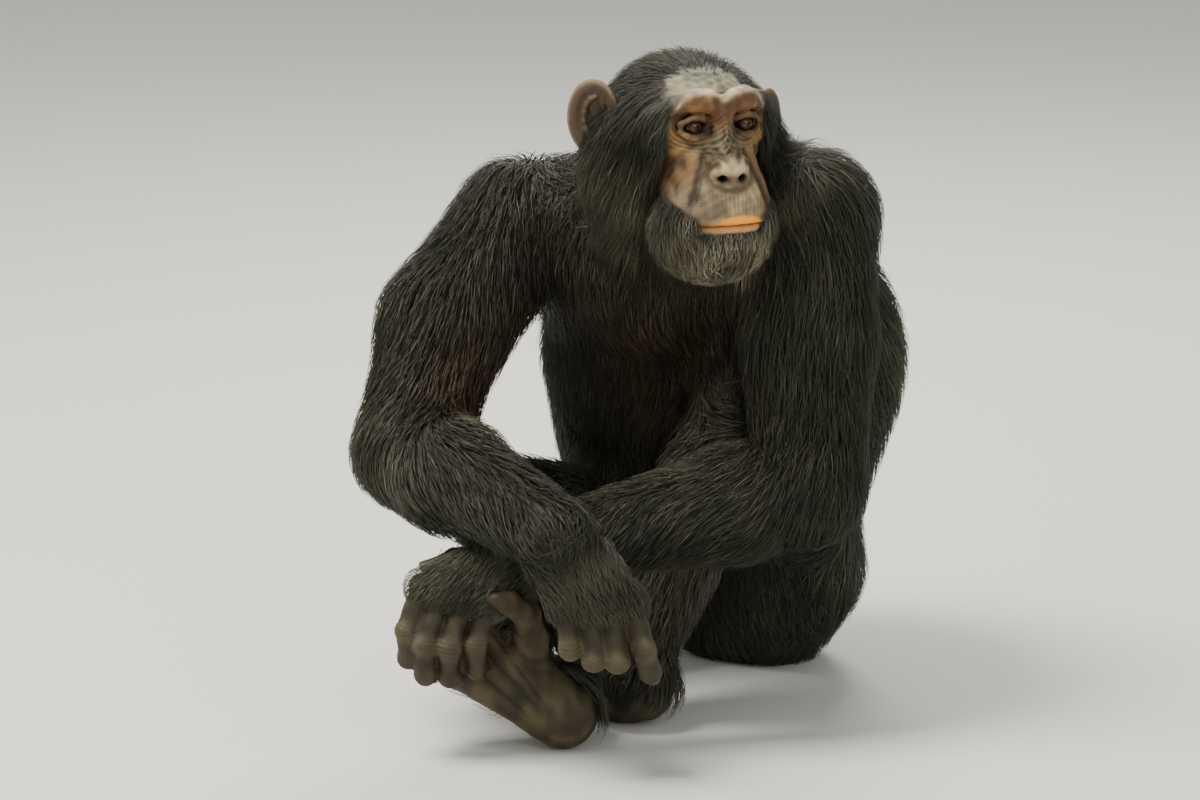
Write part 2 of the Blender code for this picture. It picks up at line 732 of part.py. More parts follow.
def clay_of(shapes, cuts, low, high, step):
    clay = Clay(low, high, step)
    for shape, k in shapes:
        clay.add(shape, k)
    for shape, k in cuts:
        clay.cut(shape, k)
    return clay


def clay_object(name, clay, triangles, home):
    obj = place(clay.mesh(name), name, home)
    thin_out(obj, triangles)
    largest(obj)
    return obj


def root_disc(point, way, radius):
    """A thin round slab on the trunk's side of a limb's root plane, to cut the trunk flat there."""
    bm = bmesh.new()
    turn = Vector(way).to_track_quat("Z", "Y").to_matrix().to_4x4()
    bmesh.ops.create_cone(bm, cap_ends=True, segments=14, radius1=radius, radius2=radius, depth=0.008)
    bmesh.ops.translate(bm, verts=bm.verts, vec=(0, 0, 0.004 - GAP / 2))
    bmesh.ops.transform(bm, verts=bm.verts, matrix=Matrix.Translation(point) @ turn)
    bmesh.ops.triangulate(bm, faces=bm.faces)
    mesh = bpy.data.meshes.new("disc")
    bm.to_mesh(mesh)
    bm.free()
    return mesh


# Locks of the long coat.


def lock_mesh(line, outs, width, thick):
    """One flat tapering lock of rhombus section: two triangles at its root, four at its tip."""
    verts = []
    shares = (0.60, 1.0, 0.75)
    for k, share in enumerate(shares):
        along = (line[k + 1] - line[k]).normalized()
        side = along.cross(outs[k]).normalized()
        up = side.cross(along)
        half = width / 2 * share
        rise = thick / 2 * (1.0, 0.8, 0.5)[k]
        verts += [line[k] + side * half, line[k] + up * rise, line[k] - side * half, line[k] - up * rise]
    verts.append(line[-1])
    faces = [(0, 1, 2), (0, 2, 3)]
    for k in range(len(shares) - 1):
        for a in range(4):
            b = (a + 1) % 4
            faces.append((k * 4 + a, k * 4 + 4 + b, k * 4 + b))
            faces.append((k * 4 + a, k * 4 + 4 + a, k * 4 + 4 + b))
    last = (len(shares) - 1) * 4
    for a in range(4):
        faces.append((last + a, len(verts) - 1, last + (a + 1) % 4))
    return [tuple(v) for v in verts], faces


def lock_line(clay, root, way, length, height):
    """The middle line of a lock: sunk at its root, then over the body, its tip at the coat's height."""
    line = [Vector(root)]
    outs = []
    out = Vector(clay.slope(np.array([root]))[0])
    line[0] = Vector(root) - out * LOCK_SUNK
    outs.append(out)
    spot = Vector(root)
    stops = (0.0, 0.34, 0.70, 1.0)
    for k in range(1, 4):
        way = (way - out * way.dot(out)).normalized()
        spot = spot + way * length * (stops[k] - stops[k - 1])
        p = np.array([spot])
        out = Vector(clay.slope(p)[0])
        off = float(clay.sample(p)[0])
        goal = height * (0.0, 0.55, 0.92, 1.0)[k]
        spot = spot + out * max(min(goal - off, 0.02), -0.02)
        line.append(spot.copy())
        outs.append(out)
    return line, outs


def spread(points, count, first):
    """Even picks from many points, each the farthest from those before it."""
    picks = [first % len(points)]
    far = np.linalg.norm(points - points[picks[0]], axis=1)
    while len(picks) < min(count, len(points)):
        k = int(np.argmax(far))
        picks.append(k)
        far = np.minimum(far, np.linalg.norm(points - points[k], axis=1))
    return picks


def clear_lock(mesh, trees):
    """True if a lock crosses none of the trees and stays over the floor."""
    if min(v[2] for v in mesh[0]) < 0.003:
        return False
    own = BVHTree.FromPolygons(mesh[0], mesh[1])
    return not any(own.overlap(other) for other in trees)


def add_locks(obj, clay, roots, way, count, length, height, width, trees, rng):
    """Fuse locks to a node. Roots whose lock is clear of the other nodes, whole or shortened, are kept,
    and the count is spread evenly over those."""
    fitting = []
    for root in roots:
        turn = Vector(rng.normal(0, 0.10, 3))
        grow = 1.0 + 0.14 * float(rng.uniform(-1, 1))
        for share in (1.0, 0.75, 0.55):
            line, outs = lock_line(clay, root, Vector(way).normalized() + turn, length * grow * share, height)
            if clear_lock(lock_mesh(line, outs, width * grow + 0.002, LOCK_THICK + 0.0020), trees):
                fitting.append((root, lock_mesh(line, outs, width * grow, LOCK_THICK)))
                break
    if not fitting:
        return
    group = bpy.data.collections.new("locks")
    cutters().children.link(group)
    picks = spread(np.array([root for root, _ in fitting]), count, 0)
    for k in picks:
        mesh = bpy.data.meshes.new("lock")
        mesh.from_pydata(fitting[k][1][0], [], fitting[k][1][1])
        place(mesh, "lock", group)
    mod = obj.modifiers.new("locks", "BOOLEAN")
    mod.operand_type = "COLLECTION"
    mod.collection = group
    mod.operation = "UNION"
    mod.solver = "MANIFOLD"
    evaluated(obj)
    largest(obj)
    for lock in list(group.objects):
        bpy.data.objects.remove(lock)
    bpy.data.collections.remove(group)


def build():
    for obj in list(bpy.data.objects):
        bpy.data.objects.remove(obj)
    home = bpy.data.collections.new(NAME)
    bpy.context.scene.collection.children.link(home)
    low = (-0.42, -0.62, -0.03)
    high = (0.32, 0.22, 0.75)
    floor = Vector((0, 0, 0))
    down = Vector((0, 0, -1))
    nodes = {}

    # Limbs and trunk share one grid, so that the trunk can be carved clear of the limbs beyond their roots.
    trunk_clay = clay_of(trunk_shapes(CORE), [], low, high, STEP)
    whole = Clay(low, high, STEP)
    limbs = {}
    for side, tag, hand, foot in ((1, "left", HAND_L, FOOT_L), (-1, "right", HAND_R, FOOT_R)):
        arm = clay_of(arm_shapes(side, CORE) + palm_shapes(hand, SHORT), [], low, high, STEP)
        leg = clay_of(leg_shapes(side, CORE) + foot_shapes(foot, SHORT), [], low, high, STEP)
        limbs["arm_" + tag] = arm
        limbs["leg_" + tag] = leg
        for clay, (point, way) in ((arm, arm_root(side)), (leg, leg_root(side))):
            trunk_clay.clear(clay, 0.003, trunk_clay.ahead(point + way * 0.003, way))
    limbs["arm_left"].clear(limbs["arm_right"], 0.0015)
    limbs["leg_left"].clear(limbs["leg_right"], 0.0015)
    for leg in ("leg_left", "leg_right"):
        for arm in ("arm_left", "arm_right"):
            limbs[leg].clear(limbs[arm], 0.0015)
        trunk_clay.clear(limbs[leg], 0.0015, trunk_clay.ahead(HIP_L + Vector((0, -0.13, 0)), Vector((0, -1, 0))))
    # The trunk keeps clear of the head too, but for the column that becomes the neck.
    head_coarse = clay_of(head_shapes(SHORT, CORE), [], low, high, STEP)
    rise = trunk_clay.ahead(NECK_ROOT, NECK_WAY)
    column = np.sqrt(np.maximum(trunk_clay.ahead(NECK_ROOT, (1, 0, 0)) ** 2
                                + trunk_clay.ahead(NECK_ROOT, NECK_WAY.cross(Vector((1, 0, 0)))) ** 2, 0.0))
    trunk_clay.clear(head_coarse, 0.0025, np.maximum(-rise, column - 0.112))
    for clay in [trunk_clay, head_coarse] + list(limbs.values()):
        whole.value = np.minimum(whole.value, clay.value)

    rump = clay_object("rump", trunk_clay, TRIANGLES["trunk"], home)
    keep_side(rump, floor, down, 0.0)
    torso = part_at(rump, WAIST, WAIST_WAY, "torso", home)
    neck = part_at(torso, NECK_ROOT, NECK_WAY, "neck", home, 0.23)
    head_low = Vector(HEAD_AT) - Vector((0.19, 0.19, 0.20))
    head_high = Vector(HEAD_AT) + Vector((0.19, 0.19, 0.12))
    head_clay = clay_of(head_shapes(SHORT, CORE), face_cuts(), head_low, head_high, HEAD_STEP)
    nodes["head"] = clay_object("head", head_clay, TRIANGLES["head"], home)
    nodes["neck"] = neck
    nodes["torso"] = torso
    nodes["rump"] = rump

    for side, tag, hand, foot in ((1, "left", HAND_L, FOOT_L), (-1, "right", HAND_R, FOOT_R)):
        shoulder = SHOULDER_L if side > 0 else SHOULDER_R
        elbow = ELBOW_L if side > 0 else ELBOW_R
        wrist = hand.wrist
        arm = clay_object("upper_arm_" + tag, limbs["arm_" + tag], TRIANGLES["arm"], home)
        upper_way = (elbow - shoulder).normalized()
        fore_way = (wrist - elbow).normalized()
        point, way = arm_root(side)
        keep_side(arm, point, way * -1.0, -GAP / 2)
        cut_by(torso, root_disc(point, way, 0.056 + FUR_ARM * CORE + 0.012), "DIFFERENCE")
        fore = part_at(arm, elbow, upper_way + fore_way, "forearm_" + tag, home)
        palm = part_at(fore, wrist, fore_way + hand.along, "hand_" + tag, home)
        nodes["upper_arm_" + tag] = arm
        nodes["forearm_" + tag] = fore
        nodes["hand_" + tag] = palm
        for n, finger in enumerate(("index", "middle", "ring", "little")):
            name = "finger_" + finger + "_" + tag
            nodes[name] = place(tube(name, *hand.finger(n)), name, home)
        thumb = THUMB_L if side > 0 else THUMB_R
        nodes["thumb_" + tag] = place(tube("thumb_" + tag, *thumb), "thumb_" + tag, home)

        hip = HIP_L if side > 0 else HIP_R
        knee = KNEE_L if side > 0 else KNEE_R
        ankle = ANKLE_L if side > 0 else ANKLE_R
        leg = clay_object("thigh_" + tag, limbs["leg_" + tag], TRIANGLES["leg"], home)
        keep_side(leg, floor, down, 0.0)
        thigh_way = (knee - hip).normalized()
        shin_way = (ankle - knee).normalized()
        point, way = leg_root(side)
        keep_side(leg, point, way * -1.0, -GAP / 2)
        cut_by(rump, root_disc(point, way, 0.062 + FUR_THIGH * CORE + 0.012), "DIFFERENCE")
        shin = part_at(leg, knee, thigh_way + shin_way, "shin_" + tag, home)
        sole = part_at(shin, ankle, shin_way + foot.toes * 0.35, "foot_" + tag, home)
        nodes["thigh_" + tag] = leg
        nodes["shin_" + tag] = shin
        nodes["foot_" + tag] = sole
        great = GREAT_L if side > 0 else GREAT_R
        nodes["toe_1_" + tag] = place(tube("toe_1_" + tag, *great), "toe_1_" + tag, home)
        for n in range(1, 5):
            name = "toe_%d_%s" % (n + 1, tag)
            nodes[name] = place(tube(name, *foot.toe(n)), name, home)

        name = "ear_" + tag
        ear = place(ear_shape(side).mesh(name), name, home)
        thin_out(ear, TRIANGLES["ear"])
        largest(ear)
        nodes[name] = ear
        centre = on_head(EYE_DEPTH, side * EYE_SPACE, EYE_UP)
        nodes["eye_" + tag] = place(ball("eye_" + tag, centre, EYE_RADIUS, 6), "eye_" + tag, home)

    # Each node in turn gives way to those before it in this order.
    order = sorted(nodes, key=lambda n: [n.startswith(p) for p in
                   ("eye", "finger", "thumb", "toe", "ear", "hand", "foot", "forearm", "upper_arm",
                    "shin", "thigh", "head", "neck", "torso", "rump")].index(True))
    for n, name in enumerate(order):
        clear_of(nodes[name], [nodes[other] for other in order[:n]])
        largest(nodes[name])
    dress(nodes, whole, head_clay)
    for name, obj in nodes.items():
        bare = name.startswith(("finger", "thumb", "toe", "ear"))
        if name.startswith("eye"):
            paint(obj, EYE_COLOUR, 0.15)
        else:
            paint(obj, SKIN_COLOUR if bare else COAT_COLOUR, 0.6 if bare else 0.8)


def lock_jobs():
    """Node, block, number, length, tip height over the core, width and lie of its locks."""
    rest = 1.0 - CORE
    jobs = []
    for side, tag in ((1, "left"), (-1, "right")):
        shoulder, elbow, wrist = (SHOULDER_L, ELBOW_L, WRIST_L) if side > 0 else (SHOULDER_R, ELBOW_R, WRIST_R)
        hip, knee, ankle = (HIP_L, KNEE_L, ANKLE_L) if side > 0 else (HIP_R, KNEE_R, ANKLE_R)
        jobs.append(("upper_arm_" + tag, LOCKS["upper_arm"], 0.070, FUR_ARM * rest, 0.030, elbow - shoulder))
        jobs.append(("forearm_" + tag, LOCKS["forearm"], 0.064, FUR_FOREARM * rest, 0.028, wrist - elbow))
        jobs.append(("thigh_" + tag, LOCKS["thigh"], 0.062, FUR_THIGH * rest, 0.030, knee - hip))
        jobs.append(("shin_" + tag, LOCKS["shin"], 0.056, FUR_SHIN * rest, 0.026, ankle - knee))
    jobs.append(("torso", LOCKS["torso"], 0.076, FUR_BACK * rest, 0.036, Vector((0, 0.30, -1.0))))
    jobs.append(("rump", LOCKS["rump"], 0.066, FUR_RUMP * rest, 0.034, Vector((0, 0.20, -1.0))))
    return jobs


def dress(nodes, whole, head_clay):
    """Give the long-coated nodes their locks."""
    rng = np.random.default_rng(17)
    trees = {name: tree(obj.data) for name, obj in nodes.items()}
    for name, count, length, height, width, way in lock_jobs():
        obj = nodes[name]
        spots = corners(obj)
        on_skin = np.abs(whole.sample(spots)) < 0.0025
        spots = spots[on_skin & (spots[:, 2] > 0.03)]
        flow = way.normalized() + Vector((0, 0, -0.30))
        roots = [Vector(spots[k]) for k in spread(spots, count * 6, 7)]
        others = [t for other, t in trees.items() if other != name]
        add_locks(obj, whole, roots, flow, count, length, height, width, others, rng)
        trees[name] = tree(obj.data)
    obj = nodes["head"]
    spots = corners(obj)
    q = spots - np.array(HEAD_AT)
    f, l, u = q @ np.array(FORWARD), q @ np.array(LEFT), q @ np.array(UP)
    others = [t for other, t in trees.items() if other != "head"]
    for side in (-1, 1):
        ruff = spots[(l * side > 0.040) & (u < -0.020) & (u > -0.115) & (f < 0.040) & (f > -0.050)]
        roots = [Vector(ruff[k]) for k in spread(ruff, 40, 3)]
        way = UP * -1.0 + FORWARD * -0.15 + LEFT * side * 0.22
        add_locks(obj, head_clay, roots, way, LOCKS["ruff"], 0.050, FUR_CHEEK * 0.7, 0.020, others, rng)
    beard = spots[(u < -0.116) & (f > 0.030)]
    roots = [Vector(beard[k]) for k in spread(beard, 40, 3)]
    add_locks(obj, head_clay, roots, UP * -1.0 + FORWARD * 0.5, LOCKS["beard"], 0.030,
              FUR_CHEEK * 0.5, 0.015, others, rng)


def corners(obj):
    out = np.empty(len(obj.data.vertices) * 3)
    obj.data.vertices.foreach_get("co", out)
    return out.reshape(-1, 3)


build()
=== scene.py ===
# Looks of the sitting chimpanzee: one skin, its eyes and nails, and a coat of mesh tufts, with floor, light
# and camera. The skin repeats the masses of the CAD source without their coat and at a finer step.
import math

import bpy
import numpy as np
import openvdb
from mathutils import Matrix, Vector


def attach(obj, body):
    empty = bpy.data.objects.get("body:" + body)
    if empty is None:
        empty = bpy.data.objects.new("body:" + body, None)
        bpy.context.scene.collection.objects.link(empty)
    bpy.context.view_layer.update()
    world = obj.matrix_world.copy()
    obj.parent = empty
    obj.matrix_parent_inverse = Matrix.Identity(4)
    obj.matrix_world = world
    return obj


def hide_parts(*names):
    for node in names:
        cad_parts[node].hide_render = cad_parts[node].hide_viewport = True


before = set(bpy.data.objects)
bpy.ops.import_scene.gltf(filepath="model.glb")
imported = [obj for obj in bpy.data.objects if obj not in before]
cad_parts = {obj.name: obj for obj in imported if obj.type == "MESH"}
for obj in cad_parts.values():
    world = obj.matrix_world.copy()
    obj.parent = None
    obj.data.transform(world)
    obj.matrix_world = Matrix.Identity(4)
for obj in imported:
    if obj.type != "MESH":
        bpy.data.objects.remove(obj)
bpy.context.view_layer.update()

# The long coat is a core under separate locks: the core's share of the coat's depth.
CORE = 0.5
# Short fur is plain, out to its tips.
SHORT = 1.0
# Gap left between nodes that face each other.
GAP = 0.0003
# The photo looks at the animal from this far round to its left.
VIEW_TURN = math.radians(30.0)

# Coat depth in metres by region, from the skin to the hair tips.
FUR_ARM = 0.017
FUR_FOREARM = 0.016
FUR_BACK = 0.020
FUR_CHEST = 0.009
FUR_BELLY = 0.011
FUR_RUMP = 0.014
FUR_THIGH = 0.015
FUR_SHIN = 0.013
FUR_HAND = 0.005
FUR_FOOT = 0.003
FUR_CROWN = 0.014
FUR_CHEEK = 0.016
FUR_NECK = 0.018

# Locks of the long coat: how thick they are, how deep their roots sit in the core, and how many there are.
LOCK_THICK = 0.006
LOCK_SUNK = 0.006
LOCKS = {"upper_arm": 8, "forearm": 8, "thigh": 6, "shin": 6, "torso": 20, "rump": 12, "ruff": 6, "beard": 7}

# Grid steps of the body and the head, and the triangles left to a chain or a piece before its locks.
STEP = 0.0045
HEAD_STEP = 0.0028
TRIANGLES = {"trunk": 980, "head": 2350, "arm": 660, "leg": 610, "ear": 150}

COAT_COLOUR = (0.030, 0.031, 0.029)
SKIN_COLOUR = (0.20, 0.135, 0.090)
EYE_COLOUR = (0.035, 0.016, 0.008)


def seen(right, away, up):
    """A point given by its place to the right, its distance away and its height in the photo's view."""
    c = math.cos(VIEW_TURN)
    s = math.sin(VIEW_TURN)
    return Vector((right * c - away * s, right * s + away * c, up))


# Joint centres of the trunk and limbs.
HIP_L = Vector((0.054, -0.026, 0.108))
HIP_R = Vector((-0.072, -0.020, 0.108))
KNEE_L = seen(-0.012, -0.205, 0.330)
KNEE_R = seen(-0.262, -0.150, 0.192)
ANKLE_L = seen(-0.128, -0.245, 0.078)
ANKLE_R = seen(-0.200, -0.302, 0.052)
SHOULDER_L = seen(0.040, -0.222, 0.513)
SHOULDER_R = seen(-0.246, -0.110, 0.484)
ELBOW_L = seen(0.040, -0.300, 0.254)
ELBOW_R = seen(-0.360, -0.250, 0.280)
WRIST_L = seen(-0.215, -0.375, 0.215)
WRIST_R = seen(-0.212, -0.462, 0.250)

# The trunk is parted into torso and rump at the waist.
WAIST = Vector((0.0, -0.030, 0.240))
WAIST_WAY = Vector((0.0, -0.28, 0.96)).normalized()

# The head turns to its left; its own axes are forward, left and up.
NECK_ROOT = Vector((0.005, -0.205, 0.574))
NECK_WAY = Vector((0.0, -0.30, 0.95)).normalized()
HEAD_AT = seen(-0.083, -0.240, 0.632)
HEAD_TURN = math.radians(22.0)
HEAD_NOD = math.radians(4.0)


def head_axes():
    flat = seen(math.sin(HEAD_TURN), -math.cos(HEAD_TURN), 0.0)
    forward = flat * math.cos(HEAD_NOD) - Vector((0, 0, 1)) * math.sin(HEAD_NOD)
    left = Vector((0, 0, 1)).cross(flat).normalized()
    up = forward.cross(left).normalized()
    return forward, left, up


FORWARD, LEFT, UP = head_axes()

# Eyeballs: half their spacing, radius, centre ahead of the head centre and above it.
EYE_SPACE = 0.0275
EYE_RADIUS = 0.0105
EYE_DEPTH = 0.0800
EYE_UP = -0.001

# The left brow's arch from the nose out, ahead, left and up of the head's centre, and its thickness there.
BROW = ((0.0885, 0.0030, 0.0200), (0.0880, 0.0140, 0.0245), (0.0840, 0.0265, 0.0250), (0.0755, 0.0400, 0.0190),
        (0.0630, 0.0500, 0.0060), (0.0540, 0.0535, -0.0060))
BROW_THICK = (0.0085, 0.0100, 0.0105, 0.0100, 0.0090, 0.0075)

# The mouth's half width and its height.
MOUTH_HALF = 0.034
MOUTH_UP = -0.0915


def on_head(forward, left, up):
    return HEAD_AT + FORWARD * forward + LEFT * left + UP * up


# Distance fields. A field is a function of an (n, 3) array of points and gives n distances.


def rod(a, b, ra, rb, flat=1.0, across=None):
    """A tapered rod with round ends, flattened across one direction when flat is below one."""
    a = np.array(a, float)
    b = np.array(b, float)
    ab = b - a
    long2 = float(ab @ ab)
    side = None
    if across is not None:
        side = np.array(across, float)
        side = side - ab * (side @ ab) / long2
        side = side / np.linalg.norm(side)

    def field(p):
        q = p - a
        h = np.clip((q @ ab) / long2, 0.0, 1.0)
        d = q - h[:, None] * ab
        if side is None:
            return np.sqrt(np.einsum("ij,ij->i", d, d)) - (ra + (rb - ra) * h)
        s = d @ side
        rest = np.einsum("ij,ij->i", d, d) - s * s
        return np.sqrt(np.maximum(rest, 0.0) + (s / flat) ** 2) - (ra + (rb - ra) * h)

    reach = max(ra, rb)
    low = np.minimum(a, b) - reach
    high = np.maximum(a, b) + reach
    return field, low, high


def egg(centre, radii, axes=None):
    """An ellipsoid with the given half sizes along its three axes."""
    centre = np.array(centre, float)
    radii = np.array(radii, float)
    turn = np.eye(3) if axes is None else np.array([list(v) for v in axes], float)

    def field(p):
        q = (p - centre) @ turn.T
        k0 = np.sqrt(np.einsum("ij,ij->i", q / radii, q / radii))
        k1 = np.sqrt(np.einsum("ij,ij->i", q / radii ** 2, q / radii ** 2))
        return k0 * (k0 - 1.0) / np.maximum(k1, 1e-9)

    half = np.sqrt(((turn * radii[:, None]) ** 2).sum(0))
    return field, centre - half, centre + half


def soft_min(a, b, k):
    h = np.maximum(k - np.abs(a - b), 0.0) / k
    return np.minimum(a, b) - h * h * k * 0.25


def soft_max(a, b, k):
    return -soft_min(-a, -b, k)


class Clay:
    """A block of distance values on a regular grid, to which fields are added or from which they are cut."""

    def __init__(self, low, high, step):
        self.step = step
        self.low = np.array(low, float)
        self.shape = tuple(np.ceil((np.array(high, float) - self.low) / step).astype(int) + 1)
        self.value = np.full(self.shape, 0.05, np.float32)

    def window(self, low, high, pad):
        i = np.maximum(np.floor((np.array(low) - pad - self.low) / self.step).astype(int), 0)
        j = np.minimum(np.ceil((np.array(high) + pad - self.low) / self.step).astype(int) + 1, self.shape)
        return i, j

    def points(self, i, j):
        axes = [self.low[n] + self.step * np.arange(i[n], j[n]) for n in range(3)]
        mesh = np.meshgrid(*axes, indexing="ij")
        return np.stack(mesh, -1).reshape(-1, 3)

    def apply(self, shape, k, rule):
        field, low, high = shape
        i, j = self.window(low, high, 0.05 + k)
        if np.any(j <= i):
            return
        cut = (slice(i[0], j[0]), slice(i[1], j[1]), slice(i[2], j[2]))
        old = self.value[cut]
        new = field(self.points(i, j)).reshape(old.shape)
        self.value[cut] = rule(old, new, k)

    def add(self, shape, k=0.01):
        self.apply(shape, k, soft_min)

    def cut(self, shape, k=0.004):
        self.apply(shape, k, lambda old, new, soft: soft_max(old, -new, soft))

    def ahead(self, point, way):
        """Distances ahead of a plane, on this block's grid."""
        spots = self.points(np.zeros(3, int), self.shape)
        return ((spots - np.array(point)) @ np.array(way)).reshape(self.shape)

    def clear(self, other, room, spared=None):
        """Carve another block's body, grown by some room, out of this one. The spared distances are
        negative where nothing is carved."""
        tool = other.value - room
        if spared is not None:
            tool = np.maximum(tool, -spared)
        self.value = np.maximum(self.value, -tool).astype(np.float32)

    def sample(self, p):
        """Distance values at any points, blended from the eight nearest."""
        q = (p - self.low) / self.step
        i = np.clip(np.floor(q).astype(int), 0, np.array(self.shape) - 2)
        t = np.clip(q - i, 0.0, 1.0)
        out = np.zeros(len(p))
        for a in (0, 1):
            for b in (0, 1):
                for c in (0, 1):
                    share = (t[:, 0] if a else 1 - t[:, 0]) * (t[:, 1] if b else 1 - t[:, 1])
                    share = share * (t[:, 2] if c else 1 - t[:, 2])
                    out += share * self.value[i[:, 0] + a, i[:, 1] + b, i[:, 2] + c]
        return out

    def slope(self, p):
        """The way out of the body at any points."""
        h = self.step
        out = np.stack([self.sample(p + h * e) - self.sample(p - h * e) for e in np.eye(3)], -1)
        return out / np.maximum(np.linalg.norm(out, axis=1, keepdims=True), 1e-9)

    def mesh(self, name):
        grid = openvdb.FloatGrid(0.05)
        grid.copyFromArray(self.value)
        points, quads = grid.convertToQuads(0.0)
        points = points * self.step + self.low
        mesh = bpy.data.meshes.new(name)
        mesh.from_pydata(points.tolist(), [], quads.tolist())
        return mesh


# The body's masses. Each limb gives a list of (shape, softness) in the order they are blended.


def arm_middle(side):
    """The middle of an upper arm, bowed outwards by its muscle and hair."""
    if side > 0:
        return SHOULDER_L.lerp(ELBOW_L, 0.45)
    return SHOULDER_R.lerp(ELBOW_R, 0.48) + seen(-0.024, 0, 0.010)


def trunk_shapes(coat):
    back = FUR_BACK * coat
    chest = FUR_CHEST * coat
    belly = FUR_BELLY * coat
    rump = FUR_RUMP * coat
    neck = FUR_NECK * coat
    out = []
    out.append((egg((-0.012, 0.000, 0.102), (0.090 + rump, 0.082 + rump, 0.102 + rump)), 0.03))
    out.append((egg((0.020, -0.004, 0.062), (0.048 + rump, 0.056 + rump, 0.062 + rump)), 0.03))
    out.append((egg((-0.040, -0.004, 0.062), (0.050 + rump, 0.056 + rump, 0.062 + rump)), 0.03))
    out.append((egg((-0.046, -0.046, 0.238), (0.150 + back, 0.104 + belly, 0.118)), 0.05))
    out.append((egg((-0.006, -0.008, 0.240), (0.118 + back, 0.082 + back, 0.120)), 0.05))
    out.append((egg((-0.024, -0.085, 0.345), (0.164 + back, 0.112 + chest, 0.125)), 0.06))
    out.append((egg((0.010, -0.048, 0.345), (0.152 + back, 0.102 + back, 0.135)), 0.06))
    out.append((egg((-0.010, -0.150, 0.440), (0.140 + back, 0.098 + chest, 0.085 + back)), 0.06))
    out.append((rod(SHOULDER_L, SHOULDER_R, 0.056 + back * 0.8, 0.056 + back * 0.8), 0.05))
    for side in (1, -1):
        shoulder = SHOULDER_L if side > 0 else SHOULDER_R
        hip, knee = (HIP_L, KNEE_L) if side > 0 else (HIP_R, KNEE_R)
        fur = FUR_ARM * coat
        thigh = FUR_THIGH * coat
        out.append((rod(shoulder, arm_middle(side), 0.056 + fur, 0.054 + fur), 0.02))
        out.append((rod(hip, knee, 0.062 + thigh, 0.046 + thigh), 0.03))
    out.append((rod((-0.005, -0.160, 0.480), on_head(-0.030, 0, -0.055), 0.080 + neck, 0.052 + neck), 0.05))
    out.append((rod((-0.005, -0.225, 0.460), on_head(-0.010, 0, -0.060), 0.058 + chest, 0.050 + chest), 0.05))
    return out


def head_shapes(short, coat):
    crown = FUR_CROWN * short
    cheek = FUR_CHEEK * coat
    axes = (FORWARD, LEFT, UP)
    out = []
    out.append((egg(on_head(0.000, 0, -0.011), (0.078 + crown, 0.066 + crown, 0.053 + crown), axes), 0.02))
    out.append((egg(on_head(-0.016, 0, -0.044), (0.064 + crown, 0.066 + cheek, 0.056 + cheek), axes), 0.03))
    for side in (-1, 1):
        out.append((egg(on_head(-0.004, side * 0.058, -0.060), (0.030 + cheek, 0.034 + 1.6 * cheek,
                    0.052 + cheek), axes), 0.03))
        # The brow ridge arches over the eye; then the cheek bone.
        arch = [on_head(f, side * l, u) for f, l, u in BROW]
        for n in range(len(arch) - 1):
            out.append((rod(arch[n], arch[n + 1], BROW_THICK[n], BROW_THICK[n + 1]), 0.007))
        out.append((rod(on_head(0.080, side * 0.018, -0.026), on_head(0.062, side * 0.046, -0.014),
                        0.015, 0.014), 0.018))
    # Nose bridge, muzzle, lips, jaw and chin, then the wings of the nose and the lids.
    out.append((rod(on_head(0.088, 0, 0.006), on_head(0.108, 0, -0.030), 0.010, 0.011), 0.012))
    out.append((egg(on_head(0.078, 0, -0.072), (0.052, 0.050, 0.046), axes), 0.025))
    out.append((egg(on_head(0.086, 0, -0.084), (0.046, 0.050, 0.026), axes), 0.015))
    out.append((egg(on_head(0.072, 0, -0.113), (0.048, 0.044, 0.030), axes), 0.02))
    out.append((egg(on_head(0.064, 0, -0.116), (0.046, 0.040 + 0.8 * cheek, 0.030 + cheek), axes), 0.02))
    for side in (-1, 1):
        out.append((egg(on_head(0.113, side * 0.0060, -0.0350), (0.0120, 0.0085, 0.0085), axes), 0.006))
        out.append((rod(on_head(0.113, side * 0.0150, -0.0350), on_head(0.107, side * 0.0195, -0.0435),
                        0.0075, 0.0065), 0.005))
        spots = lid_line(side, 1)
        for one, two in zip(spots, spots[1:]):
            out.append((rod(one, two, 0.0042, 0.0042), 0.003))
        spots = lid_line(side, -1)
        for one, two in zip(spots, spots[1:]):
            out.append((rod(one, two, 0.0036, 0.0036), 0.003))
    return out


def lid_line(side, upper):
    """Points along one eyelid's edge, from the inner corner to the outer."""
    out = []
    for t in (-1.0, -0.5, 0.0, 0.5, 1.0):
        bulge = math.sqrt(1.0 - 0.80 * t * t)
        out.append(on_head(EYE_DEPTH + EYE_RADIUS * (1.02 * bulge), side * (EYE_SPACE + 0.0125 * t),
                           EYE_UP + upper * (0.0040 + 0.0054 * (1 - t * t)) - 0.001 * t))
    return out


def mouth_line(deep):
    """Points along the line between the lips."""
    out = []
    for n in range(-4, 5):
        t = n / 4.0
        out.append(on_head(0.070 + deep + 0.062 * math.sqrt(1.0 - 0.46 * t * t), MOUTH_HALF * t,
                           MOUTH_UP - 0.003 * t * t))
    return out


def face_cuts():
    out = []
    for side in (-1, 1):
        out.append((egg(on_head(EYE_DEPTH + 0.006, side * EYE_SPACE, EYE_UP + 0.001), (0.012, 0.0118, 0.0056),
                        (FORWARD, LEFT, UP)), 0.002))
        out.append((egg(on_head(0.119, side * 0.0095, -0.0452), (0.011, 0.0056, 0.0040),
                        (FORWARD, LEFT, UP)), 0.002))
        out.append((rod(on_head(0.128, side * 0.0095, -0.0470), on_head(0.110, side * 0.0070, -0.0400),
                        0.0042, 0.0030), 0.002))
    spots = mouth_line(0.0)
    for one, two in zip(spots, spots[1:]):
        out.append((rod(one, two, 0.0024, 0.0024), 0.002))
    return out


